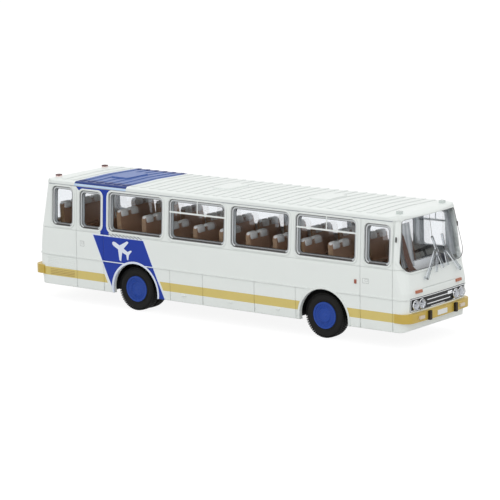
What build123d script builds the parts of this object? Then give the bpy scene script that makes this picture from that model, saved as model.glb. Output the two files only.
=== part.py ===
"""Airport transfer coach: a collector's scale model at 1:87 with rolling axles.

Millimetres. The origin is on the ground under the middle of the length, +X is forward
and +Z is up. The right side, with the doors, is at -Y.
"""
from build123d import *

import os
from math import atan2, cos, degrees, hypot, radians, sin, sqrt

# Driving sizes of the model
LENGTH = 124.4
WIDTH = 28.74
WHEELBASE = 61.3
REAR_OVERHANG = 35.9
BODY_BOTTOM = 4.2
ROOF_TOP = 33.45
TYRE_RADIUS = 5.85
WALL = 1.0

HALF = WIDTH / 2
REAR_AXLE_X = REAR_OVERHANG - LENGTH / 2
FRONT_AXLE_X = REAR_AXLE_X + WHEELBASE
MID_X = (REAR_AXLE_X + FRONT_AXLE_X) / 2

# Heights and proud ends of the bodywork
NOSE_X = LENGTH / 2 - 1.5
TAIL_X = 1.55 - LENGTH / 2
WAIST_Z = 19.0
LEAN_TOP_Z = ROOF_TOP + 2.55
LEAN_IN = 0.8
END_LEAN_IN = 2.6
BOW = 0.35
BOW_RUN = 9.0
DOME_FRONT_X = NOSE_X - 4.7
DOME_FRONT_R = 2.2
DOME_REAR_X = TAIL_X + 6.1
DOME_REAR_R = 6.0
CROWN_EDGE_Y = HALF - 1.5
CROWN_DROP = 0.3
EDGE_DROP = 1.0
SKIRT_R = 2.2
RELIEF = 0.15
GROOVE = 0.14
GROOVE_WIDTH = 0.12

# Doors
REAR_DOOR_X = TAIL_X + 19.15
FRONT_DOOR_X = NOSE_X - 9.3
REAR_DOOR_WIDTH = 9.5
FRONT_DOOR_WIDTH = 9.7

# The bodywork's ends meet its straight middle just behind and ahead of the doors
REAR_SEAM_X = REAR_DOOR_X - REAR_DOOR_WIDTH / 2 - 0.2
FRONT_SEAM_X = FRONT_DOOR_X - FRONT_DOOR_WIDTH / 2 - 0.35

# Plan sections: height, set back at the nose and at the tail, tuck of each side, and the
# corner radii at the nose and at the tail
SECTIONS = [
    (2.0, 0.9, 0.75, 0.25, 2.4, 2.6),
    (9.0, 0.2, 0.0, 0.0, 2.4, 2.8),
    (14.0, 0.0, 0.0, 0.0, 2.4, 2.8),
    (WAIST_Z, 0.7, 0.45, 0.0, 3.4, 3.0),
    (LEAN_TOP_Z, 0.7 + END_LEAN_IN, 0.45 + END_LEAN_IN, LEAN_IN, 3.4, 3.0),
]

# Windows
WINDOW_Z = 20.7
WINDOW_TOP_Z = ROOF_TOP - 2.1
DOOR_WINDOW_TOP_Z = WINDOW_TOP_Z - 0.4
FIRST_WINDOW_X = REAR_DOOR_X + 15.77
WINDOW_PITCH = (FRONT_DOOR_X - 15.48 - FIRST_WINDOW_X) / 3
WINDOW_WIDTH = WINDOW_PITCH - 1.8
WINDOW_CORNER = 1.35
FRAME_WIDTH = 0.5
BAYS = [FIRST_WINDOW_X + k * WINDOW_PITCH for k in range(4)]
TAIL_WINDOW_X = TAIL_X + 9.55
# Centre, width and top of each window
RIGHT_WINDOWS = [
    (TAIL_WINDOW_X, 7.6, WINDOW_TOP_Z),
    (REAR_DOOR_X + 0.2, 7.75, DOOR_WINDOW_TOP_Z),
    *[(x, WINDOW_WIDTH, WINDOW_TOP_Z) for x in BAYS],
    (FRONT_DOOR_X + 0.2, 7.9, DOOR_WINDOW_TOP_Z),
]
LEFT_WINDOWS = [
    (TAIL_X + 14.4, 17.2, WINDOW_TOP_Z),
    *[(x, WINDOW_WIDTH, WINDOW_TOP_Z) for x in BAYS],
    (FRONT_DOOR_X - 0.6, 8.8, WINDOW_TOP_Z),
]
SCREEN_Z = 19.1
SCREEN_TOP_Z = ROOF_TOP - 1.35
SCREEN_HALF = HALF - 0.67
SCREEN_TOP_HALF = HALF - 2.27
BACKLIGHT_Z = 21.0
BACKLIGHT_TOP_Z = ROOF_TOP - 2.25
BACKLIGHT_HALF = HALF - 2.07
BACKLIGHT_TOP_HALF = HALF - 3.07
PANE_SINK = 0.35
PANE = 0.65

# Wheels and arches
ARCH_RADIUS = TYRE_RADIUS + 1.65
ARCH_Z = TYRE_RADIUS - 0.55
ARCH_LIP = 0.6
ARCH_SHIFT = 0.35
WELL_HALF = ARCH_RADIUS + 0.4
WELL_TOP_Z = ARCH_Z + ARCH_RADIUS + 0.2
TYRE_FACE_Y = HALF - 0.85
FRONT_TYRE_WIDTH = 3.0
REAR_TYRE_WIDTH = 6.2
RIM_RADIUS = TYRE_RADIUS - 2.4
AXLE_RADIUS = 0.75
RUNNING_CLEARANCE = 0.05

# Chassis and cabin
CHASSIS_Z = BODY_BOTTOM + 0.4
CHASSIS_TOP_Z = CHASSIS_Z + 1.2
FLOOR_Z = WELL_TOP_Z + 0.6
FLOOR_TOP_Z = FLOOR_Z + 0.8
SEAT_TOP_Z = 24.4
SEAT_ROWS = 9
FIRST_SEAT_X = REAR_DOOR_X + 8.85
SEAT_PITCH = (FRONT_DOOR_X - 15.05 - FIRST_SEAT_X) / (SEAT_ROWS - 1)

# Front end
BAND_Z = 6.65
BAND_TOP_Z = 8.95
BUMPER_X = LENGTH / 2 - 0.6
GRILLE_Z = 9.3
GRILLE_TOP_Z = 12.7
GRILLE_HALF = HALF - 1.97
LAMP_Y = (HALF - 6.62, HALF - 3.97)
LAMP_Z = 10.9
LAMP_RADIUS = 1.2

os.makedirs("parts", exist_ok=True)


# Rounded corners are short chords, few enough for a light model
BODY_CORNER_CHORDS = 5
CAVITY_CORNER_CHORDS = 3
WINDOW_CORNER_CHORDS = 3


def corner(x, y, reach_x, reach_y, chords):
    """Points of a quarter turn about a centre, from its Y side round to its X side."""
    turns = [radians(90 * k / chords) for k in range(chords + 1)]
    return [(x + reach_x * sin(turn), y + reach_y * cos(turn)) for turn in turns]


def rounded_points(half_x, half_y, radius, chords=WINDOW_CORNER_CHORDS):
    """Points of a rectangle with rounded corners, about its middle."""
    points = []
    for way_x, way_y in ((1, 1), (1, -1), (-1, -1), (-1, 1)):
        centre = (way_x * (half_x - radius), way_y * (half_y - radius))
        turned_corner = corner(*centre, way_x * radius, way_y * radius, chords)
        points += turned_corner if way_x == way_y else turned_corner[::-1]
    return points


def prism(plane, radius, sides, near, far):
    """A many-sided round form along a plane's normal, from near to far; radius is to its flats."""
    with BuildPart() as form:
        with BuildSketch(plane.offset(near)):
            RegularPolygon(radius, sides, major_radius=False, rotation=180 / sides)
        extrude(amount=far - near)
    return form.part


def end_outline(height, tip, half, radius, seam, chords=BODY_CORNER_CHORDS):
    """Plan section of one end of the bodywork, from its bowed tip back to its seam."""
    way = 1 if tip > seam else -1
    points = [(seam, half)]
    points += corner(tip - way * (BOW + radius), half - radius, way * radius, radius, chords)
    points += [(tip - way * 0.3 * BOW, half - radius - BOW_RUN / 2), (tip, half - radius - BOW_RUN)]
    with BuildSketch(Plane.XY.offset(height)) as section:
        with BuildLine():
            Polyline(*points, *[(x, -y) for x, y in reversed(points)], close=True)
        make_face()
    return section.sketch


def bodywork(grow, bottom=BODY_BOTTOM, chords=BODY_CORNER_CHORDS):
    """The coach's outer form, swollen by grow and cut off level at the bottom."""
    front, rear, wall = [], [], []
    for height, nose_in, tail_in, tuck, nose_radius, tail_radius in SECTIONS:
        half = HALF - tuck + grow
        nose_tip, tail_tip = NOSE_X - nose_in + grow, TAIL_X + tail_in - grow
        front.append(end_outline(height, nose_tip, half, nose_radius + grow, FRONT_SEAM_X, chords))
        rear.append(end_outline(height, tail_tip, half, tail_radius + grow, REAR_SEAM_X, chords))
        wall.append((half, height))
    top, nose, tail = ROOF_TOP + grow, NOSE_X + grow, TAIL_X - grow
    dome_front, dome_rear = DOME_FRONT_R + grow, DOME_REAR_R + grow
    edge = CROWN_EDGE_Y + grow
    shoulder = top - CROWN_DROP
    bend = sqrt(0.5)
    with BuildPart() as form:
        with BuildSketch(Plane.YZ.offset(REAR_SEAM_X)):
            with BuildLine():
                Polyline(*wall, *[(-y, z) for y, z in reversed(wall)], close=True)
            make_face()
        extrude(amount=FRONT_SEAM_X - REAR_SEAM_X)
        loft(sections=front, ruled=True)
        loft(sections=rear, ruled=True)
        with BuildSketch(Plane.XZ):
            with BuildLine():
                Polyline(
                    (tail, bottom + SKIRT_R), (tail, top - dome_rear),
                    (DOME_REAR_X - dome_rear, top - dome_rear),
                )
                ThreePointArc(
                    (DOME_REAR_X - dome_rear, top - dome_rear),
                    (DOME_REAR_X - dome_rear * bend, top - dome_rear * (1 - bend)),
                    (DOME_REAR_X, top),
                )
                Line((DOME_REAR_X, top), (DOME_FRONT_X, top))
                ThreePointArc(
                    (DOME_FRONT_X, top),
                    (DOME_FRONT_X + dome_front * bend, top - dome_front * (1 - bend)),
                    (DOME_FRONT_X + dome_front, top - dome_front),
                )
                Polyline(
                    (DOME_FRONT_X + dome_front, top - dome_front), (nose, top - dome_front),
                    (nose, bottom + SKIRT_R),
                )
                ThreePointArc(
                    (nose, bottom + SKIRT_R),
                    (nose - SKIRT_R * (1 - bend), bottom + SKIRT_R * (1 - bend)),
                    (nose - SKIRT_R, bottom),
                )
                Line((nose - SKIRT_R, bottom), (tail + SKIRT_R, bottom))
                ThreePointArc(
                    (tail + SKIRT_R, bottom),
                    (tail + SKIRT_R * (1 - bend), bottom + SKIRT_R * (1 - bend)),
                    (tail, bottom + SKIRT_R),
                )
            make_face()
        extrude(amount=WIDTH, both=True, mode=Mode.INTERSECT)
        with BuildSketch(Plane.YZ):
            with BuildLine():
                Polyline((-edge, shoulder), (0, top), (edge, shoulder))
                ThreePointArc(
                    (edge, shoulder), (edge + 0.65, shoulder - 0.22),
                    (edge + EDGE_DROP, shoulder - EDGE_DROP),
                )
                Polyline(
                    (edge + EDGE_DROP, shoulder - EDGE_DROP), (WIDTH, shoulder - EDGE_DROP),
                    (WIDTH, 0), (-WIDTH, 0), (-WIDTH, shoulder - EDGE_DROP),
                    (-edge - EDGE_DROP, shoulder - EDGE_DROP),
                )
                ThreePointArc(
                    (-edge - EDGE_DROP, shoulder - EDGE_DROP), (-edge - 0.65, shoulder - 0.22),
                    (-edge, shoulder),
                )
            make_face()
        extrude(amount=LENGTH, both=True, mode=Mode.INTERSECT)
    return form.part


# The side wall above the waist leans in, so windows are drawn on its own plane
LEAN = atan2(LEAN_IN, LEAN_TOP_Z - WAIST_Z)
WALL_PLANE = Plane(origin=(0, -HALF, WAIST_Z), x_dir=(1, 0, 0), z_dir=(0, -cos(LEAN), sin(LEAN)))


def up_the_wall(height):
    """Distance up the leaning wall from the waist to a height."""
    return (height - WAIST_Z) / cos(LEAN)


def window_blocks(windows, grow, near, far):
    """Rounded blocks through the right wall, from near to far outside its face."""
    with BuildPart() as blocks:
        for x, width, top in windows:
            low, high = up_the_wall(WINDOW_Z), up_the_wall(top)
            rim = rounded_points(width / 2 + grow, (high - low) / 2 + grow, WINDOW_CORNER + grow)
            with BuildSketch(WALL_PLANE.offset(near)):
                with BuildLine():
                    Polyline(*[(x + across, (low + high) / 2 + up) for across, up in rim], close=True)
                make_face()
            extrude(amount=far - near)
    return blocks.part


def end_block(bottom, top, half, top_half, bottom_corner, top_corner, grow, near, far):
    """A window block drawn in the end view and run along X from near to far."""
    low_r, high_r = bottom_corner + grow, top_corner + grow
    rim = corner(half + grow - low_r, bottom - grow + low_r, low_r, -low_r, WINDOW_CORNER_CHORDS)
    high_corner = corner(top_half + grow - high_r, top + grow - high_r, high_r, high_r, WINDOW_CORNER_CHORDS)
    rim += high_corner[::-1]
    with BuildPart() as block:
        with BuildSketch(Plane.YZ.offset(near)):
            with BuildLine():
                Polyline(*rim, *[(-y, z) for y, z in reversed(rim)], close=True)
            make_face()
        extrude(amount=far - near)
    return block.part


def screen_block(grow):
    """The windscreen's opening."""
    sizes = (SCREEN_Z, SCREEN_TOP_Z, SCREEN_HALF, SCREEN_TOP_HALF)
    return end_block(*sizes, 2.6, 1.0, grow, NOSE_X - 5.2, LENGTH)


def backlight_block(grow):
    """The rear window's opening."""
    sizes = (BACKLIGHT_Z, BACKLIGHT_TOP_Z, BACKLIGHT_HALF, BACKLIGHT_TOP_HALF)
    return end_block(*sizes, 2.0, 2.0, grow, -LENGTH, TAIL_X + 6)


def finish(piece, label):
    """Names a finished piece and writes its file."""
    piece.part.label = label
    export_step(piece.part, f"parts/{label}.step")


form = bodywork(0)
cavity = bodywork(-WALL, bottom=BODY_BOTTOM + WALL, chords=CAVITY_CORNER_CHORDS)
raised_form = bodywork(RELIEF)
right_openings = window_blocks(RIGHT_WINDOWS, 0, -3, 2)
left_openings = mirror(window_blocks(LEFT_WINDOWS, 0, -3, 2), about=Plane.XZ)
screen_opening = screen_block(0)
backlight_opening = backlight_block(0)

# Raised lines of the moulding: frames, gutter, rub line, arch lips and roof ribs
GUTTER_Z = ROOF_TOP - 1.15
GUTTER_HEIGHT = 0.6
RUB_LINE_Z = 12.5
RUB_LINE_HEIGHT = 0.28
RIB_COUNT = 35
RIB_WIDTH = 1.2
RIB_START_X = TAIL_X + 8.95
RIB_END_X = NOSE_X - 9.7
RIB_PITCH = (RIB_END_X - RIB_START_X) / (RIB_COUNT - 1)
ARCH_SIDES = 40


def arch_plane(x):
    """Plane across the model through the middle of the arches over one axle."""
    return Plane(origin=(x + ARCH_SHIFT, 0, ARCH_Z), x_dir=(1, 0, 0), z_dir=(0, 1, 0))


with BuildPart() as raised:
    add(window_blocks(RIGHT_WINDOWS, FRAME_WIDTH, -1, 2))
    add(mirror(window_blocks(LEFT_WINDOWS, FRAME_WIDTH, -1, 2), about=Plane.XZ))
    add(screen_block(0.4))
    for z, height in ((GUTTER_Z, GUTTER_HEIGHT), (RUB_LINE_Z, RUB_LINE_HEIGHT)):
        with Locations((0, 0, z)):
            Box(LENGTH, WIDTH + 4, height)
    for x in (REAR_AXLE_X, FRONT_AXLE_X):
        add(prism(arch_plane(x), ARCH_RADIUS + ARCH_LIP, ARCH_SIDES, -WIDTH, WIDTH))
    with Locations([(RIB_START_X + k * RIB_PITCH, 0, ROOF_TOP) for k in range(RIB_COUNT)]):
        Box(RIB_WIDTH, 2 * CROWN_EDGE_Y - 0.6, 2.0)
    add(raised_form, mode=Mode.INTERSECT)

# Three shut roof hatches
HATCH_LENGTH = 6.0
HATCH_HALF = 4.6
HATCH_RISE = 0.3
with BuildPart() as hatches:
    for x in (TAIL_X + 21.7, TAIL_X + 56.1, NOSE_X - 33.8):
        rim = rounded_points(HATCH_LENGTH / 2, HATCH_HALF, 0.9)
        with BuildSketch(Plane.XY.offset(ROOF_TOP - 0.5)):
            with BuildLine():
                Polyline(*[(x + along, across) for along, across in rim], close=True)
            make_face()
        extrude(amount=0.5 + HATCH_RISE)

# Panel gaps of the doors, flaps and service panels
FLAP_XS = (MID_X - 18.5, MID_X - 7.6, MID_X + 9.2, MID_X + 22.3)
with BuildPart() as grooves:
    for x, width in ((REAR_DOOR_X, REAR_DOOR_WIDTH), (FRONT_DOOR_X, FRONT_DOOR_WIDTH)):
        for side in (-1, 1):
            with Locations((x + side * width / 2, -HALF, 18.2)):
                Box(GROOVE_WIDTH, 4, 27.6)
    for x in FLAP_XS:
        with Locations((x, 0, 8.4)):
            Box(GROOVE_WIDTH, WIDTH + 4, 8.2)
    with Locations((0, 0, WAIST_Z + 0.85)):
        Box(LENGTH, WIDTH + 4, 0.1)
    with Locations((NOSE_X, 0, 14.6)):
        Box(4, 15.0, GROOVE_WIDTH)
    add(bodywork(-GROOVE), mode=Mode.SUBTRACT)

with BuildPart() as grille_recess:
    with Locations((NOSE_X, 0, (GRILLE_Z + GRILLE_TOP_Z) / 2)):
        Box(6, 2 * GRILLE_HALF, GRILLE_TOP_Z - GRILLE_Z)
    add(bodywork(-0.5), mode=Mode.SUBTRACT)

UNDERSIDE_LENGTH = NOSE_X - TAIL_X - 2 * SKIRT_R
UNDERSIDE_HALF = HALF - WALL - 0.25
with BuildPart() as body_shell:
    add(form)
    add(raised.part)
    add(hatches.part)
    add(grooves.part, mode=Mode.SUBTRACT)
    add(cavity, mode=Mode.SUBTRACT)
    with Locations(((NOSE_X + TAIL_X) / 2, 0, BODY_BOTTOM + WALL)):
        Box(UNDERSIDE_LENGTH, 2 * UNDERSIDE_HALF, 2 * WALL + 1, mode=Mode.SUBTRACT)
    add(right_openings, mode=Mode.SUBTRACT)
    add(left_openings, mode=Mode.SUBTRACT)
    add(screen_opening, mode=Mode.SUBTRACT)
    add(backlight_opening, mode=Mode.SUBTRACT)
    add(grille_recess.part, mode=Mode.SUBTRACT)
    for x in (REAR_AXLE_X, FRONT_AXLE_X):
        add(prism(arch_plane(x), ARCH_RADIUS, ARCH_SIDES, -WIDTH, WIDTH), mode=Mode.SUBTRACT)
finish(body_shell, "body_shell")


def skin(outer, inner, block):
    """The layer between two swellings of the bodywork, inside a block."""
    with BuildPart() as layer:
        add(bodywork(outer))
        add(bodywork(inner), mode=Mode.SUBTRACT)
        add(block, mode=Mode.INTERSECT)
    return layer.part


# Glazing: end panes follow the bodywork, side panes stand on one inner sheet a side
with BuildPart() as windscreen:
    add(skin(-PANE_SINK, -PANE_SINK - PANE, screen_opening))
finish(windscreen, "windscreen")

with BuildPart() as rear_window:
    add(skin(-PANE_SINK, -PANE_SINK - PANE, backlight_opening))
finish(rear_window, "rear_window")

SHEET = 0.6
SHEET_LOW_Z = WINDOW_Z - 0.6
SHEET_HIGH_Z = WINDOW_TOP_Z + 0.5
SHEET_START_X = TAIL_X + 4.2
SHEET_END_X = NOSE_X - 4.6


def side_glass(windows):
    """One right-hand moulding of clear panes on their inner sheet."""
    low, high = up_the_wall(SHEET_LOW_Z), up_the_wall(SHEET_HIGH_Z)
    with BuildPart() as glass:
        with BuildSketch(WALL_PLANE.offset(-WALL - SHEET)):
            with Locations(((SHEET_START_X + SHEET_END_X) / 2, (low + high) / 2)):
                Rectangle(SHEET_END_X - SHEET_START_X, high - low)
        extrude(amount=SHEET)
        add(cavity, mode=Mode.INTERSECT)
        add(window_blocks(windows, 0, -WALL - SHEET / 2, -PANE_SINK))
    return glass.part


with BuildPart() as right_windows:
    add(side_glass(RIGHT_WINDOWS))
finish(right_windows, "right_windows")

with BuildPart() as left_windows:
    add(mirror(side_glass(LEFT_WINDOWS), about=Plane.XZ))
finish(left_windows, "left_windows")

# Chassis: floor plate between the skirts, wheel wells, bearings and underframe relief
PLATE_HALF = HALF - WALL - 0.35
WELL_WALL = 0.7
FRONT_WELL_Y = TYRE_FACE_Y - FRONT_TYRE_WIDTH - 0.9
REAR_WELL_Y = TYRE_FACE_Y - REAR_TYRE_WIDTH - 0.9
BEARING_HALF = 1.6
BEARING_LENGTH = 3.2
BORE_SIDES = 12
# Axle, inner face of its wheel wells
WELLS = [(FRONT_AXLE_X, FRONT_WELL_Y), (REAR_AXLE_X, REAR_WELL_Y)]


def axle_plane(x):
    """Plane across the model through the middle of one axle."""
    return Plane(origin=(x, 0, TYRE_RADIUS), x_dir=(1, 0, 0), z_dir=(0, 1, 0))


with BuildPart() as chassis:
    with Locations(((NOSE_X + TAIL_X) / 2, 0, (CHASSIS_Z + CHASSIS_TOP_Z) / 2)):
        Box(UNDERSIDE_LENGTH - 2.2, 2 * PLATE_HALF, CHASSIS_TOP_Z - CHASSIS_Z)
    for x, inner_y in WELLS:
        depth = PLATE_HALF - inner_y
        for side in (-1, 1):
            with Locations((x, side * (inner_y + depth / 2), (CHASSIS_Z + FLOOR_Z) / 2)):
                Box(2 * WELL_HALF + 2 * WELL_WALL, depth, FLOOR_Z - CHASSIS_Z)
    for x, inner_y in WELLS:
        depth = PLATE_HALF - inner_y
        for side in (-1, 1):
            with Locations((x, side * (inner_y + WELL_WALL + depth / 2), WELL_TOP_Z / 2)):
                Box(2 * WELL_HALF, depth, WELL_TOP_Z, mode=Mode.SUBTRACT)
    # Moulded underframe: two rails, engine pan, tank and battery box
    for side in (-1, 1):
        with Locations((MID_X, side * 4.2, CHASSIS_Z - 0.3)):
            Box(WHEELBASE - 2 * WELL_HALF, 1.0, 0.6)
    for x, y, long, wide, deep in (
        (REAR_AXLE_X - 21.5, 0, 15.0, 9.0, 0.9),
        (MID_X - 13, 8.8, 10.0, 5.4, 0.8),
        (MID_X + 10, -8.8, 8.0, 5.0, 0.8),
    ):
        with Locations((x, y, CHASSIS_Z - deep / 2)):
            Box(long, wide, deep)
    for x, inner_y in WELLS:
        for side in (-1, 1):
            with Locations((x, side * (inner_y - BEARING_LENGTH / 2), (TYRE_RADIUS - 1.9 + 7.8) / 2)):
                Box(2 * BEARING_HALF, BEARING_LENGTH, 7.8 - TYRE_RADIUS + 1.9)
        with Locations((x, 0, TYRE_RADIUS - 2)):
            Box(2 * BEARING_HALF + 1.6, 2 * (inner_y - BEARING_LENGTH), 12, mode=Mode.SUBTRACT)
        bore = prism(axle_plane(x), AXLE_RADIUS + RUNNING_CLEARANCE, BORE_SIDES, -HALF, HALF)
        add(bore, mode=Mode.SUBTRACT)
finish(chassis, "chassis")

# Cabin floor, rising by a step to the tail platform
STEP_Z = FLOOR_TOP_Z + 1.0
PLATFORM_Z = FLOOR_TOP_Z + 1.9
STEP_END_X = FIRST_SEAT_X + SEAT_PITCH + 5.0
PLATFORM_END_X = FIRST_SEAT_X + 5.0
CABIN_HALF = HALF - WALL - 0.15
CABIN_TAIL_X = TAIL_X + WALL + 2.3
CABIN_NOSE_X = NOSE_X - WALL - 2.2
with BuildPart() as cabin_floor:
    for end_x, low, high in (
        (CABIN_NOSE_X, FLOOR_Z, FLOOR_TOP_Z),
        (STEP_END_X, FLOOR_TOP_Z, STEP_Z),
        (PLATFORM_END_X, STEP_Z, PLATFORM_Z),
    ):
        with Locations(((CABIN_TAIL_X + end_x) / 2, 0, (low + high) / 2)):
            Box(end_x - CABIN_TAIL_X, 2 * CABIN_HALF, high - low)
finish(cabin_floor, "cabin_floor")

# Seats: mouldings with one broad back and a headrest bump for each place
SEAT_PLACE = 4.2
HEAD_HALF = 1.85
HEAD_CORNER = 0.7
HEAD_DIP = 1.6
CUSHION_HEIGHT = 3.4
CUSHION_LENGTH = 4.4
BACK_HEIGHT = SEAT_TOP_Z - FLOOR_TOP_Z
BACK_THICK = 1.3
BACK_RAKE = 1.1
PAIR_Y = HALF - WALL - SHEET - 0.25 - SEAT_PLACE


def seat_block(x, y, base, places, place=SEAT_PLACE):
    """A moulding of seats side by side about y, their backs at x, standing at height base."""
    half, top = places * place / 2, base + BACK_HEIGHT
    heads = [y + (k - (places - 1) / 2) * place for k in range(places)]
    crest = []
    for middle in reversed(heads):
        crest += [
            (middle + HEAD_HALF, top - HEAD_CORNER), (middle + HEAD_HALF - HEAD_CORNER, top),
            (middle - HEAD_HALF + HEAD_CORNER, top), (middle - HEAD_HALF, top - HEAD_CORNER),
            (middle - place / 2, top - HEAD_DIP),
        ]
    with BuildPart() as block:
        with BuildSketch(Plane.XZ.offset(-y)):
            with BuildLine():
                Polyline(
                    (x - 0.2, base), (x + CUSHION_LENGTH, base), (x + CUSHION_LENGTH, base + CUSHION_HEIGHT),
                    (x + BACK_THICK, base + CUSHION_HEIGHT - 0.4), (x + BACK_THICK - BACK_RAKE, top),
                    (x - BACK_RAKE, top), (x - 0.2, base + 2), close=True,
                )
            make_face()
        extrude(amount=half, both=True)
        with BuildSketch(Plane.YZ.offset(x - BACK_RAKE - 1)):
            with BuildLine():
                Polyline(
                    (y - half, base), (y + half, base), (y + half, base + 0.6 * BACK_HEIGHT),
                    *crest[:-1], (y - half, base + 0.6 * BACK_HEIGHT), close=True,
                )
            make_face()
        extrude(amount=CUSHION_LENGTH + BACK_RAKE + 2, mode=Mode.INTERSECT)
    return block.part


# Place and floor height of each row behind the front door
ROWS = []
for k in range(SEAT_ROWS):
    ROWS.append((FIRST_SEAT_X + k * SEAT_PITCH, [PLATFORM_Z, STEP_Z][k] if k < 2 else FLOOR_TOP_Z))

with BuildPart() as right_seats:
    for x, base in ROWS:
        add(seat_block(x, -PAIR_Y, base, 2))
finish(right_seats, "right_seats")

with BuildPart() as left_seats:
    for x, base in [(FIRST_SEAT_X - SEAT_PITCH, PLATFORM_Z), *ROWS]:
        add(seat_block(x, PAIR_Y, base, 2))
finish(left_seats, "left_seats")

BENCH_PLACES = 5
with BuildPart() as rear_bench:
    add(seat_block(TAIL_X + 6.2, 0, PLATFORM_Z, BENCH_PLACES, 2 * (HALF - 3.87) / BENCH_PLACES))
finish(rear_bench, "rear_bench")

DRIVER_Y = HALF - 6.97
DRIVER_X = FRONT_DOOR_X - 5.5
with BuildPart() as driver_seat:
    add(seat_block(DRIVER_X, DRIVER_Y, FLOOR_TOP_Z, 1, 5.2))
finish(driver_seat, "driver_seat")

DASH_X = NOSE_X - 5.0
DASH_TOP_Z = 18.1
HOOD_TOP_Z = 20.2
with BuildPart() as dashboard:
    with Locations((DASH_X, 0, (FLOOR_TOP_Z + DASH_TOP_Z) / 2)):
        Box(4.6, 2 * (HALF - 2.87), DASH_TOP_Z - FLOOR_TOP_Z)
    with Locations((DASH_X - 0.8, DRIVER_Y - 0.8, (FLOOR_TOP_Z + HOOD_TOP_Z) / 2)):
        Box(3.0, 7.0, HOOD_TOP_Z - FLOOR_TOP_Z)
finish(dashboard, "dashboard")

WHEEL_RING = 2.3
WHEEL_FACETS = 16
WHEEL_CENTRE = (DASH_X - 4.0, DRIVER_Y - 0.8, 21.6)
WHEEL_PLANE = Plane(origin=WHEEL_CENTRE, x_dir=(0, 1, 0), z_dir=(-0.5, 0, 1))
with BuildPart() as steering_wheel:
    with BuildSketch(WHEEL_PLANE):
        RegularPolygon(WHEEL_RING + 0.25, WHEEL_FACETS)
        RegularPolygon(WHEEL_RING - 0.25, WHEEL_FACETS, mode=Mode.SUBTRACT)
        Rectangle(2 * WHEEL_RING, 0.45)
        RegularPolygon(0.6, 8)
    extrude(amount=0.25, both=True)
    with BuildSketch(WHEEL_PLANE):
        RegularPolygon(0.35, 8)
    extrude(amount=-3.2)
    add(dashboard.part, mode=Mode.SUBTRACT)
finish(steering_wheel, "steering_wheel")

BOARD_X = NOSE_X - 3.5
with BuildPart() as route_board:
    with Locations((BOARD_X, -2.5, (DASH_TOP_Z + 21.1) / 2)):
        Box(0.3, 11.0, 21.1 - DASH_TOP_Z)
finish(route_board, "route_board")


def bumper(tip, end, half, bottom, top):
    """A wrap-round bumper lying on the bodywork, its tip at the nose or at the tail."""
    with BuildPart() as bar:
        add(end_outline(bottom, tip, half, 2.6, end))
        extrude(amount=top - bottom)
        add(form, mode=Mode.SUBTRACT)
    return bar.part


PLATE_PROUD = 0.15
with BuildPart() as front_bumper:
    add(bumper(BUMPER_X, NOSE_X - 3.8, HALF + 0.18, BAND_Z, BAND_TOP_Z))
finish(front_bumper, "front_bumper")

with BuildPart() as rear_bumper:
    add(bumper(PLATE_PROUD - LENGTH / 2, TAIL_X + 2.8, HALF + 0.3, BAND_Z + 0.25, BAND_TOP_Z + 0.35))
finish(rear_bumper, "rear_bumper")

PAD_Y = HALF - 8.47
with BuildPart() as bumper_pads:
    for side in (-1, 1):
        with Locations((LENGTH / 2 - 0.5, side * PAD_Y, (BAND_Z + BAND_TOP_Z) / 2)):
            Box(1.0, 0.95, BAND_TOP_Z - BAND_Z)
    add(front_bumper.part, mode=Mode.SUBTRACT)
finish(bumper_pads, "bumper_pads")

PLATE_LENGTH = 4.3
PLATE_HEIGHT = 1.25
with BuildPart() as front_plate:
    with Locations((BUMPER_X, 0, (BAND_Z + BAND_TOP_Z) / 2 - 0.1)):
        Box(2 * PLATE_PROUD, PLATE_LENGTH, PLATE_HEIGHT)
    add(front_bumper.part, mode=Mode.SUBTRACT)
finish(front_plate, "front_plate")

with BuildPart() as rear_plate:
    with Locations((PLATE_PROUD - LENGTH / 2, 0, BAND_TOP_Z - 0.85)):
        Box(2 * PLATE_PROUD, PLATE_LENGTH, PLATE_HEIGHT)
    add(rear_bumper.part, mode=Mode.SUBTRACT)
finish(rear_plate, "rear_plate")

# Grille: black panel in its recess, bright frame and bars, four round headlamps
with BuildPart() as grille_panel:
    with Locations((NOSE_X, 0, (GRILLE_Z + GRILLE_TOP_Z) / 2)):
        Box(6, 2 * GRILLE_HALF, GRILLE_TOP_Z - GRILLE_Z)
    add(bodywork(-0.12), mode=Mode.INTERSECT)
    add(bodywork(-0.5), mode=Mode.SUBTRACT)
finish(grille_panel, "grille_panel")

GRILLE_MID_Z = (GRILLE_Z + GRILLE_TOP_Z) / 2
FRAME_INSET = 0.15
FRAME_LINE = 0.18
with BuildPart() as grille_frame:
    with Locations((NOSE_X, 0, GRILLE_MID_Z)):
        for shrink, mode in ((FRAME_INSET, Mode.ADD), (FRAME_INSET + FRAME_LINE, Mode.SUBTRACT)):
            Box(6, 2 * (GRILLE_HALF - shrink), GRILLE_TOP_Z - GRILLE_Z - 2 * shrink, mode=mode)
    add(bodywork(0.05), mode=Mode.INTERSECT)
    add(bodywork(-0.12), mode=Mode.SUBTRACT)
finish(grille_frame, "grille_frame")

with BuildPart() as grille_bars:
    for z in (GRILLE_MID_Z + 0.45, GRILLE_MID_Z - 0.65):
        with Locations((NOSE_X, 0, z)):
            Box(6, 10.6, 0.22)
    add(bodywork(0.08), mode=Mode.INTERSECT)
    add(bodywork(-0.12), mode=Mode.SUBTRACT)
finish(grille_bars, "grille_bars")

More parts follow.
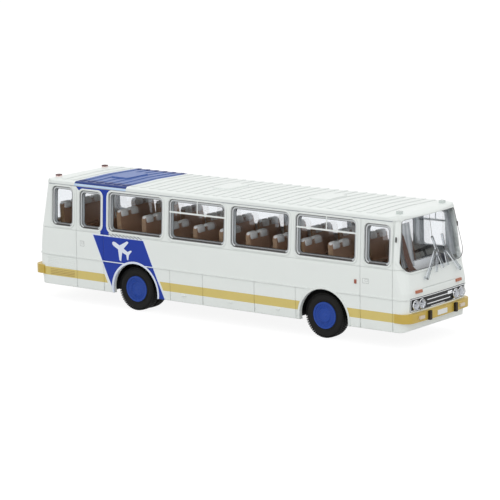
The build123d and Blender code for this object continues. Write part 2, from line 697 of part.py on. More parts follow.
LAMP_SIDES = 16
LAMP_PROUD = 0.65
with BuildPart() as headlamps:
    for y in (-LAMP_Y[1], -LAMP_Y[0], LAMP_Y[0], LAMP_Y[1]):
        lamp_plane = Plane(origin=(NOSE_X, y, LAMP_Z), x_dir=(0, 1, 0), z_dir=(1, 0, 0))
        add(prism(lamp_plane, LAMP_RADIUS, LAMP_SIDES, -1.6, LAMP_PROUD))
    chamfer(headlamps.faces().sort_by(Axis.X)[-4:].edges(), 0.35)
    add(bodywork(-0.12), mode=Mode.SUBTRACT)
finish(headlamps, "headlamps")

with BuildPart() as fog_lamps:
    for side in (-1, 1):
        with Locations((BUMPER_X, side * (HALF - 5.12), (BAND_Z + BAND_TOP_Z) / 2)):
            Box(0.5, 2.1, 0.8)
    add(front_bumper.part, mode=Mode.SUBTRACT)
    add(form, mode=Mode.SUBTRACT)
finish(fog_lamps, "fog_lamps")

with BuildPart() as front_indicators:
    for side in (-1, 1):
        with Locations((NOSE_X, side * (HALF - 5.27), 14.15)):
            Box(5, 2.6, 0.7)
    add(bodywork(0.35), mode=Mode.INTERSECT)
    add(form, mode=Mode.SUBTRACT)
finish(front_indicators, "front_indicators")

with BuildPart() as side_repeaters:
    with Locations((FRONT_AXLE_X + 10.2, 0, 15.9)):
        Box(0.6, WIDTH + 3, 1.05)
    add(bodywork(0.22), mode=Mode.INTERSECT)
    add(form, mode=Mode.SUBTRACT)
finish(side_repeaters, "side_repeaters")

with BuildPart() as tail_lamps:
    for side in (-1, 1):
        with Locations((TAIL_X, side * (HALF - 3.37), 12.6)):
            Box(4, 2.2, 3.6)
    add(bodywork(0.35), mode=Mode.INTERSECT)
    add(body_shell.part, mode=Mode.SUBTRACT)
    add(cavity, mode=Mode.SUBTRACT)
finish(tail_lamps, "tail_lamps")

# Roof markers: name, place and height of the top above the roof line
for name, x, rise in (("front_markers", NOSE_X - 5.4, 0.5), ("rear_markers", TAIL_X + 4.7, 0.35)):
    with BuildPart() as markers:
        for side in (-1, 1):
            with Locations((x, side * (HALF - 4.67), ROOF_TOP + rise - 0.7)):
                Box(1.2, 1.3, 1.4)
        add(form, mode=Mode.SUBTRACT)
    finish(markers, name)

# Wipers: bars lying just off the windscreen, each on a pivot pin into the nose panel
RAKE = atan2(END_LEAN_IN, LEAN_TOP_Z - WAIST_Z)
WIPER_PLANE = Plane(
    origin=(NOSE_X - 0.25, 0, WAIST_Z), x_dir=(0, 1, 0), z_dir=(cos(RAKE), 0, sin(RAKE))
)
# For each wiper: start and end of each bar across and up the screen, and its width
WIPERS = {
    "right_wiper": [
        (-6.0, -2.2, -0.4, 4.6, 0.8), (-1.6, 7.8, 1.9, -0.5, 0.6),
        (0.2, 4.2, -1.4, -1.2, 0.45), (0.2, 4.2, -0.6, 4.6, 0.6),
    ],
    "left_wiper": [
        (9.5, -2.2, 3.4, 4.6, 0.75), (3.0, 7.8, 4.0, -0.3, 0.6), (3.2, 4.6, 3.8, 4.6, 0.6),
    ],
}
for name, bars in WIPERS.items():
    with BuildPart() as wiper:
        with BuildSketch(WIPER_PLANE):
            for across, up, to_across, to_up, width in bars:
                length = hypot(to_across - across, to_up - up)
                turn = degrees(atan2(to_up - up, to_across - across))
                with Locations(((across + to_across) / 2, (up + to_up) / 2)):
                    Rectangle(length, width, rotation=turn)
        extrude(amount=0.45)
        with BuildSketch(Plane.YZ.offset(NOSE_X - 2)):
            with Locations((bars[0][0], WAIST_Z + bars[0][1] + 0.3)):
                RegularPolygon(0.35, 6)
        extrude(amount=2.4)
        add(raised_form, mode=Mode.SUBTRACT)
    finish(wiper, name)


# Wheels: chamfered tyres, paired at the rear, and dished discs with a raised cap
WHEEL_SIDES = 32
HUB_SIDES = 24
TYRE_CHAMFER = 0.45
TWIN_GAP = 0.8
TWIN_GAP_DEPTH = 1.2
AXLE_REACH = 1.6
RING_RADIUS = RIM_RADIUS - 0.45
CAP_RADIUS = 1.6
# Axle name, place, tyre width, whether its tyres are twins, and depth, dish and cap of its discs
AXLES = [
    ("front", FRONT_AXLE_X, FRONT_TYRE_WIDTH, False, 2.4, 0.35, 0.1),
    ("rear", REAR_AXLE_X, REAR_TYRE_WIDTH, True, 2.8, 0.6, 0.4),
]
for name, x, width, twins, depth, dish, cap in AXLES:
    plane = axle_plane(x)
    face_plane = plane.offset(-TYRE_FACE_Y)
    reach = TYRE_FACE_Y - AXLE_REACH
    axle = prism(plane, AXLE_RADIUS, BORE_SIDES, -reach, reach)
    with BuildPart() as axle_rod:
        add(axle)
    finish(axle_rod, f"{name}_axle")
    with BuildPart() as right_tyre:
        add(prism(face_plane, TYRE_RADIUS, WHEEL_SIDES, 0, width))
        chamfer(right_tyre.faces().filter_by(Axis.Y).edges(), TYRE_CHAMFER)
        if twins:
            near, far = (width - TWIN_GAP) / 2, (width + TWIN_GAP) / 2
            add(prism(face_plane, TYRE_RADIUS + 1, WHEEL_SIDES, near, far), mode=Mode.SUBTRACT)
            add(prism(face_plane, TYRE_RADIUS - TWIN_GAP_DEPTH, WHEEL_SIDES, near, far))
        add(prism(face_plane, RIM_RADIUS, WHEEL_SIDES, -1, width + 1), mode=Mode.SUBTRACT)
    finish(right_tyre, f"{name}_right_tyre")
    with BuildPart() as left_tyre:
        add(mirror(right_tyre.part, about=Plane.XZ))
    finish(left_tyre, f"{name}_left_tyre")
    with BuildPart() as right_hub:
        add(prism(face_plane, RIM_RADIUS, WHEEL_SIDES, 0.05, depth))
        add(prism(face_plane, RING_RADIUS, HUB_SIDES, -1, dish), mode=Mode.SUBTRACT)
        add(prism(face_plane, CAP_RADIUS, HUB_SIDES, cap, dish + 0.1))
        add(axle, mode=Mode.SUBTRACT)
    finish(right_hub, f"{name}_right_hub")
    with BuildPart() as left_hub:
        add(mirror(right_hub.part, about=Plane.XZ))
    finish(left_hub, f"{name}_left_hub")
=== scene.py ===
"""Airport transfer coach, a scale model at 1:87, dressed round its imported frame.

Metres, with the origin on the ground under the middle of the length, +X forward and +Z up.
The side with the doors is at -Y. Sizes below are written in millimetres times MM.
"""
from math import atan2, cos, pi, sin

import bmesh
import bpy
from mathutils import Matrix, Vector


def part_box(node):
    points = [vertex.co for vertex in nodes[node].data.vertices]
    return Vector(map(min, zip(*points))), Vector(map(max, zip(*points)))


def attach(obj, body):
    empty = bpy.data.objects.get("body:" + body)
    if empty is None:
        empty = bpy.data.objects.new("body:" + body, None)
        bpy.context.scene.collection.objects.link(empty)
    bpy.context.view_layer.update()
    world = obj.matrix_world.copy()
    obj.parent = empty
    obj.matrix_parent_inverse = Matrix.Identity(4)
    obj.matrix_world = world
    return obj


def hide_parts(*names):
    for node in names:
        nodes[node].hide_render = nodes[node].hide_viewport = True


MM = 0.001
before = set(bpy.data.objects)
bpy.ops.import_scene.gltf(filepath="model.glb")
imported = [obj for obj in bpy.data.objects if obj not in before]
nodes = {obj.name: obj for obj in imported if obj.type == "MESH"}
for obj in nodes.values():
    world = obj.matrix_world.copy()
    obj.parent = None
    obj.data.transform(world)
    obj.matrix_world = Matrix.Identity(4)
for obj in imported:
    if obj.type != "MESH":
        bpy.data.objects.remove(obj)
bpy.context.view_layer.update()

# Where the photograph was taken from
CAMERA_PLACE = (0.407618, -0.537983, 0.143122)
CAMERA_YAW = 0.64654
CAMERA_PITCH = 1.386
CAMERA_ROLL = -0.01289
CAMERA_LENS = 187.551
SENSOR_WIDTH = 36.0

# Bodywork
HALF_WIDTH = 14.37 * MM
WALL_MIDDLE = 0.5 * MM
NOSE_X = 60.7 * MM
TAIL_X = -60.65 * MM
WAIST_Z = 19.0 * MM
LEAN_SLOPE = 0.8 / 17.0
LEAN = atan2(0.8, 17.0)
GUTTER_Z = 32.3 * MM
GUTTER_HALF = 0.3 * MM
RUB_LINE_Z = 12.5 * MM
RUB_LINE_HALF = 0.14 * MM
REAR_AXLE_X = -26.3 * MM
FRONT_AXLE_X = 35.0 * MM
AXLE_Z = 5.85 * MM
ARCH_SHIFT = 0.35 * MM
ARCH_Z = 5.3 * MM
ARCH_RADIUS = 7.5 * MM
ARCH_LIP = 0.6 * MM

# Windows: each is its middle along the side, its width and its top
WINDOW_Z = 20.7 * MM
WINDOW_TOP_Z = 31.35 * MM
DOOR_WINDOW_TOP_Z = 30.95 * MM
WINDOW_CORNER = 1.35 * MM
FRAME_WIDTH = 0.5 * MM
PANE_SINK = 0.35 * MM
WINDOW_PITCH = 20.55 * MM
BAY_WIDTH = 18.75 * MM
BAYS = [-25.73 * MM + bay * WINDOW_PITCH for bay in range(4)]
BAY_WINDOWS = [(x, BAY_WIDTH, WINDOW_TOP_Z) for x in BAYS]
TAIL_WINDOW = (-51.1 * MM, 7.6 * MM, WINDOW_TOP_Z)
REAR_DOOR_WINDOW = (-41.3 * MM, 7.75 * MM, DOOR_WINDOW_TOP_Z)
FRONT_DOOR_WINDOW = (51.6 * MM, 7.9 * MM, DOOR_WINDOW_TOP_Z)
LEFT_TAIL_WINDOW = (-46.25 * MM, 17.2 * MM, WINDOW_TOP_Z)
DRIVER_WINDOW = (50.8 * MM, 8.8 * MM, WINDOW_TOP_Z)
# Windows of the right side (-1) and of the left side (1)
WINDOWS = {
    -1: [TAIL_WINDOW, REAR_DOOR_WINDOW, *BAY_WINDOWS, FRONT_DOOR_WINDOW],
    1: [LEFT_TAIL_WINDOW, *BAY_WINDOWS, DRIVER_WINDOW],
}

# Wheels
TYRE_RADIUS = 5.85 * MM
TYRE_FACE_Y = 13.52 * MM
FRONT_TYRE_WIDTH = 3.0 * MM
REAR_TYRE_WIDTH = 6.2 * MM
TWIN_GAP = 0.8 * MM

# Livery: blue panel with slanting ends, blue pillar and roof band, ochre band
PANEL_SLANT = 0.4545
PANEL_FOOT_Z = 4.2 * MM
PANEL_START_X = -33.4 * MM
PANEL_END_X = -16.1 * MM
PANEL_TOP_Z = 19.3 * MM
PANEL_OUTLINE = 0.32 * MM
PILLAR_X = -36.25 * MM
PILLAR_HALF = 1.5 * MM
ROOF_FLAT_HALF = 10.6 * MM
ROOF_BAND_START_X = -46.9 * MM
ROOF_BAND_END_X = -29.0 * MM
BAND_Z = 6.65 * MM
BAND_TOP_Z = 8.95 * MM
BAND_GAP = 0.35 * MM
STRIP_LAP = 0.5 * MM


class Finish:
    """A material under way: its node tree, and short ways to add nodes to it."""

    def __init__(self, name):
        self.material = bpy.data.materials.new(name)
        self.material.use_nodes = True
        self.tree = self.material.node_tree
        self.surface = self.tree.nodes["Principled BSDF"]
        self.place = self.node("ShaderNodeTexCoord").outputs["Object"]

    def node(self, kind, **settings):
        made = self.tree.nodes.new(kind)
        for name, value in settings.items():
            setattr(made, name, value)
        return made

    def put(self, socket, value):
        """Gives an input a value or a link."""
        if isinstance(value, bpy.types.NodeSocket):
            self.tree.links.new(value, socket)
        else:
            socket.default_value = value

    def number(self, operation, first, second=0.0):
        made = self.node("ShaderNodeMath", operation=operation)
        self.put(made.inputs[0], first)
        self.put(made.inputs[1], second)
        return made.outputs[0]

    def coordinates(self):
        """X, Y and Z of the shaded point."""
        split = self.node("ShaderNodeSeparateXYZ")
        self.put(split.inputs[0], self.place)
        return split.outputs[0], split.outputs[1], split.outputs[2]

    def between(self, value, low, high):
        """1 where a number lies between two others."""
        above = self.number("GREATER_THAN", value, low)
        below = self.number("LESS_THAN", value, high)
        return self.number("MULTIPLY", above, below)

    def all_of(self, *masks):
        total = masks[0]
        for mask in masks[1:]:
            total = self.number("MULTIPLY", total, mask)
        return total

    def any_of(self, *masks):
        total = masks[0]
        for mask in masks[1:]:
            total = self.number("MAXIMUM", total, mask)
        return total

    def but_not(self, mask, other):
        return self.number("MULTIPLY", mask, self.number("SUBTRACT", 1.0, other))

    def mix(self, share, first, second):
        made = self.node("ShaderNodeMix", data_type="RGBA")
        self.put(made.inputs["Factor"], share)
        self.put(made.inputs["A"], first)
        self.put(made.inputs["B"], second)
        return made.outputs["Result"]

    def noise(self, size, detail=3.0):
        """A noise with features of about one size, in metres."""
        made = self.node("ShaderNodeTexNoise")
        self.put(made.inputs["Vector"], self.place)
        made.inputs["Scale"].default_value = 1.0 / size
        made.inputs["Detail"].default_value = detail
        return made.outputs["Fac"]

    def spread(self, value, low, high):
        """Spreads a number from 0 to 1 between two others."""
        made = self.node("ShaderNodeMapRange")
        self.put(made.inputs["Value"], value)
        made.inputs["To Min"].default_value = low
        made.inputs["To Max"].default_value = high
        return made.outputs["Result"]

    def tinted(self, color, size=2.0 * MM, share=0.08):
        """A colour that wanders a little towards a darker one."""
        dark = tuple(c * (1 - 2 * share) for c in color[:3]) + (1.0,)
        return self.mix(self.noise(size), color, dark)

    def moulded(self, size, depth, softened=0.0):
        """Fine unevenness of a moulded or painted skin, with edges softened over a radius."""
        bump = self.node("ShaderNodeBump")
        bump.inputs["Strength"].default_value = 0.5
        bump.inputs["Distance"].default_value = depth
        self.put(bump.inputs["Height"], self.noise(size))
        if softened:
            edges = self.node("ShaderNodeBevel", samples=6)
            edges.inputs["Radius"].default_value = softened
            self.put(bump.inputs["Normal"], edges.outputs["Normal"])
        self.put(self.surface.inputs["Normal"], bump.outputs["Normal"])

    def finish(self, color, rough, rough_spread=0.05, **sockets):
        """Sets the colour, a slightly uneven roughness and any plain sockets."""
        self.put(self.surface.inputs["Base Color"], color)
        uneven = self.spread(self.noise(1.3 * MM), rough - rough_spread, rough + rough_spread)
        self.put(self.surface.inputs["Roughness"], uneven)
        for name, value in sockets.items():
            self.surface.inputs[name.replace("_", " ")].default_value = value
        return self.material


def srgb(red, green, blue):
    """A colour given in screen values, as linear light."""
    def linear(value):
        share = value / 255
        return share / 12.92 if share <= 0.04045 else ((share + 0.055) / 1.055) ** 2.4
    return (linear(red), linear(green), linear(blue), 1.0)


WHITE = srgb(241, 246, 243)
PRINT_WHITE = srgb(232, 240, 254)
BLUE = srgb(20, 58, 168)
# Painted light and shade on the blue roof: a paler blue for its lit flat, a darker one for its shaded edge
LIT_ROOF_BLUE = srgb(86, 116, 184)
SHADED_ROOF_EDGE_BLUE = srgb(30, 58, 130)
GUTTER_BLUE = srgb(204, 228, 255)
OCHRE = srgb(224, 204, 124)
BUMPER_OCHRE = srgb(208, 178, 78)


def frame_distance(look, x, z, window):
    """Distance of a point of the side from a window's rounded corner centres."""
    middle, width, top = window
    height = top - WINDOW_Z
    across = look.number("ABSOLUTE", look.number("SUBTRACT", x, middle))
    up = look.number("ABSOLUTE", look.number("SUBTRACT", z, (top + WINDOW_Z) / 2))
    across = look.number("MAXIMUM", look.number("SUBTRACT", across, width / 2 - WINDOW_CORNER), 0.0)
    up = look.number("MAXIMUM", look.number("SUBTRACT", up, height / 2 - WINDOW_CORNER), 0.0)
    squares = look.number("ADD", look.number("MULTIPLY", across, across), look.number("MULTIPLY", up, up))
    return look.number("SQRT", squares)


def arch_distance(look, x, z, axle_x):
    """Distance of a point of the side from the middle of an arch."""
    along = look.number("SUBTRACT", x, axle_x + ARCH_SHIFT)
    rise = look.number("SUBTRACT", z, ARCH_Z)
    squares = look.number("ADD", look.number("MULTIPLY", along, along), look.number("MULTIPLY", rise, rise))
    return look.number("SQRT", squares)


def upper_blue(look, x, z):
    """The blue pillar between two windows and the strip over them, clear of their frames."""
    rim = WINDOW_CORNER + FRAME_WIDTH
    clear_of_frames = look.all_of(*[
        look.number("GREATER_THAN", frame_distance(look, x, z, window), rim)
        for window in (REAR_DOOR_WINDOW, BAY_WINDOWS[0])
    ])
    pillar = look.all_of(
        look.between(x, PILLAR_X - PILLAR_HALF, PILLAR_X + PILLAR_HALF),
        look.between(z, PANEL_TOP_Z + PANEL_OUTLINE, GUTTER_Z - GUTTER_HALF),
    )
    band_slant = look.number("SUBTRACT", x, look.number("SUBTRACT", GUTTER_Z, z))
    strip = look.all_of(
        look.number("GREATER_THAN", band_slant, ROOF_BAND_START_X),
        look.number("LESS_THAN", x, ROOF_BAND_END_X),
        look.between(z, WINDOW_TOP_Z - STRIP_LAP, GUTTER_Z - GUTTER_HALF),
    )
    return look.all_of(look.any_of(pillar, strip), clear_of_frames)


def body_paint():
    """White plastic with its printed blue and ochre fields, on the outer faces only, and painted light and
    shade on the blue roof.
    """
    look = Finish("body_paint")
    x, y, z = look.coordinates()
    out = look.number("ABSOLUTE", y)
    # Middle of the wall's thickness, which leans in above the waist
    above = look.number("MAXIMUM", look.number("SUBTRACT", z, WAIST_Z), 0.0)
    skin = look.number("SUBTRACT", HALF_WIDTH - WALL_MIDDLE, look.number("MULTIPLY", above, LEAN_SLOPE))
    outside = look.number("GREATER_THAN", out, skin)

    rise = look.number("MULTIPLY", look.number("SUBTRACT", z, PANEL_FOOT_Z), PANEL_SLANT)
    sheared = look.number("ADD", x, rise)
    in_panel = look.between(sheared, PANEL_START_X, PANEL_END_X)
    in_outline = look.between(sheared, PANEL_START_X - PANEL_OUTLINE, PANEL_END_X + PANEL_OUTLINE)
    below_top = look.number("LESS_THAN", z, PANEL_TOP_Z)
    rub_line = look.between(z, RUB_LINE_Z - RUB_LINE_HALF, RUB_LINE_Z + RUB_LINE_HALF)
    arches = [
        look.number("LESS_THAN", arch_distance(look, x, z, axle_x), ARCH_RADIUS + ARCH_LIP)
        for axle_x in (REAR_AXLE_X, FRONT_AXLE_X)
    ]
    trim = look.any_of(rub_line, *arches)

    panel = look.but_not(look.all_of(in_panel, below_top), trim)
    upper = upper_blue(look, x, z)
    roof = look.all_of(
        look.between(x, ROOF_BAND_START_X, ROOF_BAND_END_X),
        look.number("GREATER_THAN", z, GUTTER_Z + GUTTER_HALF),
    )
    blue = look.any_of(look.all_of(look.any_of(panel, upper), outside), roof)

    # Ochre band, stopped short of the panel and of the arch lips
    near_panel = look.between(
        sheared, PANEL_START_X - 2 * PANEL_OUTLINE - BAND_GAP, PANEL_END_X + PANEL_OUTLINE + BAND_GAP
    )
    in_band = look.all_of(look.between(z, BAND_Z, BAND_TOP_Z), outside)
    ochre = look.but_not(in_band, look.any_of(near_panel, *arches))
    edge_zone = look.all_of(in_outline, look.number("LESS_THAN", z, PANEL_TOP_Z + PANEL_OUTLINE), outside)
    gutter = look.all_of(
        look.between(x, ROOF_BAND_START_X, ROOF_BAND_END_X),
        look.between(z, GUTTER_Z - GUTTER_HALF, GUTTER_Z + GUTTER_HALF), outside,
    )

    color = look.mix(edge_zone, look.tinted(WHITE, 6 * MM, 0.01), PRINT_WHITE)
    color = look.mix(gutter, color, GUTTER_BLUE)
    color = look.mix(ochre, color, look.tinted(OCHRE, 3 * MM, 0.03))
    color = look.mix(blue, color, look.tinted(BLUE, 3 * MM, 0.05))
    # Painted light and shade: the flat of the blue roof is painted paler, as lit from above, and its steep
    # edge darker, as in shade
    flat = look.all_of(roof, look.number("LESS_THAN", out, ROOF_FLAT_HALF))
    color = look.mix(roof, color, look.tinted(SHADED_ROOF_EDGE_BLUE, 3 * MM, 0.05))
    color = look.mix(flat, color, look.tinted(LIT_ROOF_BLUE, 3 * MM, 0.05))
    look.moulded(0.9 * MM, 0.012 * MM, softened=0.3 * MM)
    return look.finish(color, 0.34, 0.05, Specular_IOR_Level=0.28)


def plain_finish(name, color, rough, grain=0.5 * MM, depth=0.01 * MM, share=0.06, **sockets):
    """A moulded or painted material with fine grain and a slightly uneven colour."""
    look = Finish(name)
    look.moulded(grain, depth)
    return look.finish(look.tinted(color, 4 * grain, share), rough, 0.06, **sockets)


def clear_plastic(name, color, rough=0.02, bend=1.06, cover=0.2):
    """Clear moulded plastic that lets most light straight through."""
    look = Finish(name)
    look.moulded(2.5 * MM, 0.004 * MM)
    return look.finish(
        look.tinted(color, 5 * MM, 0.01), rough, 0.01, Transmission_Weight=1.0, IOR=bend, Alpha=cover
    )


def seat_plastic():
    """Brown seat moulding; faces turned to either side are painted a paler ochre brown, a painted highlight
    of the lit seat ends.
    """
    look = Finish("seat_plastic")
    facing = look.node("ShaderNodeSeparateXYZ")
    look.put(facing.inputs[0], look.node("ShaderNodeNewGeometry").outputs["Normal"])
    # Painted light: faces turned to either side get the tone of lit seat ends
    ends = look.number("GREATER_THAN", look.number("ABSOLUTE", facing.outputs[1]), 0.8)
    brown = look.tinted(srgb(158, 121, 95), 1.2 * MM, 0.12)
    color = look.mix(ends, brown, look.tinted(srgb(152, 121, 91), 0.8 * MM, 0.2))
    look.moulded(0.25 * MM, 0.03 * MM)
    return look.finish(color, 0.5, 0.08)


# Heights where the dashboard's hood and the tail lamps' amber field begin, and their clear foot ends
HOOD_Z = 18.15 * MM
AMBER_Z = 13.4 * MM
CLEAR_FOOT_Z = 11.6 * MM


def dashboard_plastic():
    """Brown moulding with a dark grey instrument hood on top."""
    look = Finish("dashboard_plastic")
    hood = look.number("GREATER_THAN", look.coordinates()[2], HOOD_Z)
    color = look.mix(hood, look.tinted(srgb(112, 76, 58), 1.5 * MM, 0.1), srgb(62, 64, 72))
    look.moulded(0.3 * MM, 0.02 * MM)
    return look.finish(color, 0.55, 0.06)


def tail_lens():
    """Tail lamp lens: amber above, red in the middle, clear white at the foot."""
    look = Finish("tail_lens")
    z = look.coordinates()[2]
    color = look.mix(look.number("GREATER_THAN", z, AMBER_Z), srgb(165, 34, 30), srgb(212, 120, 50))
    color = look.mix(look.number("LESS_THAN", z, CLEAR_FOOT_Z), color, srgb(225, 226, 222))
    look.moulded(0.3 * MM, 0.02 * MM)
    return look.finish(color, 0.22, 0.04, Coat_Weight=0.5)


def marker_lens():
    """Roof marker: a dark red top on a pale foot."""
    look = Finish("marker_lens")
    low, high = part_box("rear_markers")
    top = look.number("GREATER_THAN", look.coordinates()[2], (low[2] + high[2]) / 2)
    color = look.mix(top, srgb(236, 214, 210), look.tinted(srgb(96, 54, 50), 0.5 * MM, 0.1))
    look.moulded(0.3 * MM, 0.02 * MM)
    return look.finish(color, 0.35, 0.05, Specular_IOR_Level=0.3)


def corner_glass_sheen():
    """Painted reflection: a pale streaky sheet for the sheen of the thick glass at both ends of the
    windscreen.
    """
    look = Finish("corner_glass_sheen")
    streaks = look.node("ShaderNodeTexWave", bands_direction="Y", wave_profile="SIN")
    look.put(streaks.inputs["Vector"], look.place)
    streaks.inputs["Scale"].default_value = 190.0
    streaks.inputs["Distortion"].default_value = 1.5
    color = look.mix(streaks.outputs["Fac"], srgb(168, 171, 174), srgb(214, 217, 219))
    look.moulded(0.8 * MM, 0.01 * MM)
    return look.finish(color, 0.3, 0.05, Alpha=0.62)


body_white = body_paint()
trim_white = plain_finish("trim_white", WHITE, 0.32, share=0.02)
print_white = plain_finish("print_white", PRINT_WHITE, 0.35, share=0.02)
# Grey of the painted shade in the recess outlines
recess_shade_grey = plain_finish("recess_shade_grey", srgb(200, 204, 202), 0.4, share=0.03)
line_grey = plain_finish("line_grey", srgb(168, 173, 180), 0.45, share=0.05)
card_white = plain_finish("card_white", srgb(238, 240, 238), 0.5, share=0.03)
board_white = plain_finish("board_white", srgb(254, 254, 254), 0.5, share=0.02)
marker_pale = plain_finish("marker_pale", srgb(214, 222, 219), 0.25, share=0.08)
clear = clear_plastic("window_clear", srgb(188, 197, 207))
wiper_clear = clear_plastic("wiper_clear", srgb(205, 210, 214), 0.12, 1.46, 1.0)
lamp_clear = clear_plastic("lamp_clear", srgb(226, 229, 234), 0.08, 1.2, 0.5)
chassis_black = plain_finish("chassis_black", srgb(22, 23, 25), 0.6, Specular_IOR_Level=0.2)
# Dark lines, also used as painted shade in the window gaps and the mirror slots
dark_line_and_shade = plain_finish("dark_line_and_shade", srgb(72, 70, 70), 0.45, share=0.1)
# Pale tone: a painted highlight on the pane edges, and the lining of the reveals
pane_edge = plain_finish("pane_edge", srgb(214, 218, 220), 0.2, share=0.08)
# Painted reflection in the windscreen's thick corners
glass_sheen = corner_glass_sheen()
seat_brown = seat_plastic()
floor_brown = plain_finish("floor_brown", srgb(112, 76, 56), 0.6, share=0.1)
post_brown = plain_finish("post_brown", srgb(92, 62, 48), 0.6, share=0.1)
dash_brown = dashboard_plastic()
cover_grey = plain_finish("cover_grey", srgb(226, 225, 223), 0.6, grain=0.25 * MM, depth=0.03 * MM, share=0.1)
bumper_ochre = plain_finish("bumper_ochre", BUMPER_OCHRE, 0.34)
louvre_shade = plain_finish("louvre_shade", srgb(178, 146, 82), 0.4)
pad_brown = plain_finish("pad_brown", srgb(48, 38, 26), 0.5, Specular_IOR_Level=0.2)
grille_black = plain_finish("grille_black", srgb(22, 24, 26), 0.4)
bright_trim = plain_finish("bright_trim", srgb(222, 224, 226), 0.18, share=0.03, Metallic=1.0)
reflector = plain_finish("reflector", srgb(196, 198, 202), 0.4, share=0.03, Metallic=1.0)
lamp_amber = plain_finish("lamp_amber", srgb(186, 112, 82), 0.3, Specular_IOR_Level=0.4)
repeater_red = plain_finish("repeater_red", srgb(164, 92, 74), 0.3, Specular_IOR_Level=0.4)
fog_glass = plain_finish("fog_glass", srgb(230, 216, 196), 0.25, share=0.12)
marker_red = marker_lens()
lamp_lens = tail_lens()
tyre_rubber = plain_finish(
    "tyre_rubber", srgb(22, 22, 21), 0.65, grain=0.3 * MM, depth=0.02 * MM, Specular_IOR_Level=0.2,
)
hub_blue = plain_finish("hub_blue", srgb(34, 74, 166), 0.4, Specular_IOR_Level=0.3)
axle_steel = plain_finish("axle_steel", srgb(150, 152, 155), 0.3, Metallic=1.0)

NODE_FINISHES = {
    "body_shell": body_white, "windscreen": clear, "rear_window": clear, "right_windows": clear,
    "left_windows": clear, "chassis": chassis_black, "cabin_floor": floor_brown,
    "right_seats": seat_brown, "left_seats": seat_brown, "rear_bench": seat_brown,
    "driver_seat": seat_brown, "dashboard": dash_brown, "steering_wheel": grille_black,
    "route_board": board_white, "front_bumper": bumper_ochre, "rear_bumper": bumper_ochre,
    "bumper_pads": pad_brown, "front_plate": card_white, "rear_plate": card_white,
    "grille_panel": grille_black, "grille_frame": bright_trim, "grille_bars": bright_trim,
    "headlamps": lamp_clear, "fog_lamps": fog_glass, "front_indicators": lamp_amber,
    "side_repeaters": repeater_red, "tail_lamps": lamp_lens, "front_markers": marker_pale,
    "rear_markers": marker_red, "right_wiper": wiper_clear, "left_wiper": wiper_clear,
}
for end in ("front", "rear"):
    NODE_FINISHES[f"{end}_axle"] = axle_steel
    for side_name in ("left", "right"):
        NODE_FINISHES[f"{end}_{side_name}_tyre"] = tyre_rubber
        NODE_FINISHES[f"{end}_{side_name}_hub"] = hub_blue
for name, finish in NODE_FINISHES.items():
    data = nodes[name].data
    data.materials.clear()
    data.materials.append(finish)


WELD = 0.0005 * MM


def piece(name, mesh, finish, body, smooth=True):
    """Makes a finished object of a bmesh and lets it ride on a body."""
    bmesh.ops.remove_doubles(mesh, verts=mesh.verts, dist=WELD)
    bmesh.ops.recalc_face_normals(mesh, faces=mesh.faces)
    data = bpy.data.meshes.new(name)
    mesh.to_mesh(data)
    mesh.free()
    data.materials.append(finish)
    for face in data.polygons:
        face.use_smooth = smooth
    made = bpy.data.objects.new(name, data)
    bpy.context.scene.collection.objects.link(made)
    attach(made, body)
    return made


def block(mesh, size, matrix, rounding=0.0, segments=2):
    """Adds a box, with softened edges where a rounding is given, to a bmesh."""
    made = bmesh.ops.create_cube(mesh, size=1.0)["verts"]
    bmesh.ops.transform(mesh, matrix=matrix @ Matrix.Diagonal((*size, 1.0)), verts=made)
    if rounding:
        edges = list({edge for vert in made for edge in vert.link_edges})
        bmesh.ops.bevel(
            mesh, geom=edges, offset=rounding, segments=segments, profile=0.5, affect="EDGES", material=-1,
        )


def rounded_ring(mesh, width, height, corner, rim, depth, matrix):
    """Adds a flat ring with rounded corners, its outer edge of the given width and height."""
    shown = set(mesh.faces)
    made = bmesh.ops.create_grid(mesh, x_segments=1, y_segments=1, size=0.5)["verts"]
    bmesh.ops.transform(mesh, matrix=matrix @ Matrix.Diagonal((width, height, 1.0, 1.0)), verts=made)
    bmesh.ops.bevel(mesh, geom=made, offset=corner, segments=4, profile=0.5, affect="VERTICES", material=-1)
    middle = [face for face in mesh.faces if face not in shown]
    ring = bmesh.ops.inset_region(
        mesh, faces=middle, thickness=rim, use_boundary=True, use_even_offset=True,
    )
    bmesh.ops.delete(mesh, geom=middle, context="FACES_ONLY")
    bmesh.ops.solidify(mesh, geom=ring["faces"], thickness=depth)


def in_metres(profile):
    """A profile written in millimetres, as spun takes it."""
    return [(radius * MM, along * MM) for radius, along in profile]


def spun(mesh, profile, steps, matrix, closed=False):
    """Adds a turned form: radius and distance along the axis of each point of its profile."""
    shown = set(mesh.verts)
    verts = [mesh.verts.new((radius, 0.0, along)) for radius, along in profile]
    following = verts[1:] + verts[:1] if closed else verts[1:]
    edges = [mesh.edges.new(pair) for pair in zip(verts, following)]
    bmesh.ops.spin(
        mesh, geom=verts + edges, cent=(0, 0, 0), axis=(0, 0, 1), dvec=(0, 0, 0), angle=2 * pi,
        steps=steps, use_merge=True,
    )
    made = [vert for vert in mesh.verts if vert not in shown]
    bmesh.ops.transform(mesh, matrix=matrix, verts=made)


def slab(mesh, points, thickness):
    """Adds a flat outline as one face, and gives it a thickness."""
    face = mesh.faces.new([mesh.verts.new(point) for point in points])
    bmesh.ops.solidify(mesh, geom=[face], thickness=thickness)


def axes_at(origin, along, up, out):
    """A place with its own directions along, up and out."""
    return Matrix((
        (along[0], up[0], out[0], origin[0]),
        (along[1], up[1], out[1], origin[1]),
        (along[2], up[2], out[2], origin[2]),
        (0.0, 0.0, 0.0, 1.0),
    ))


def shifted(place, along=0.0, up=0.0, out=0.0):
    """A place moved in its own directions."""
    return place @ Matrix.Translation((along, up, out))


SIDES = (-1, 1)


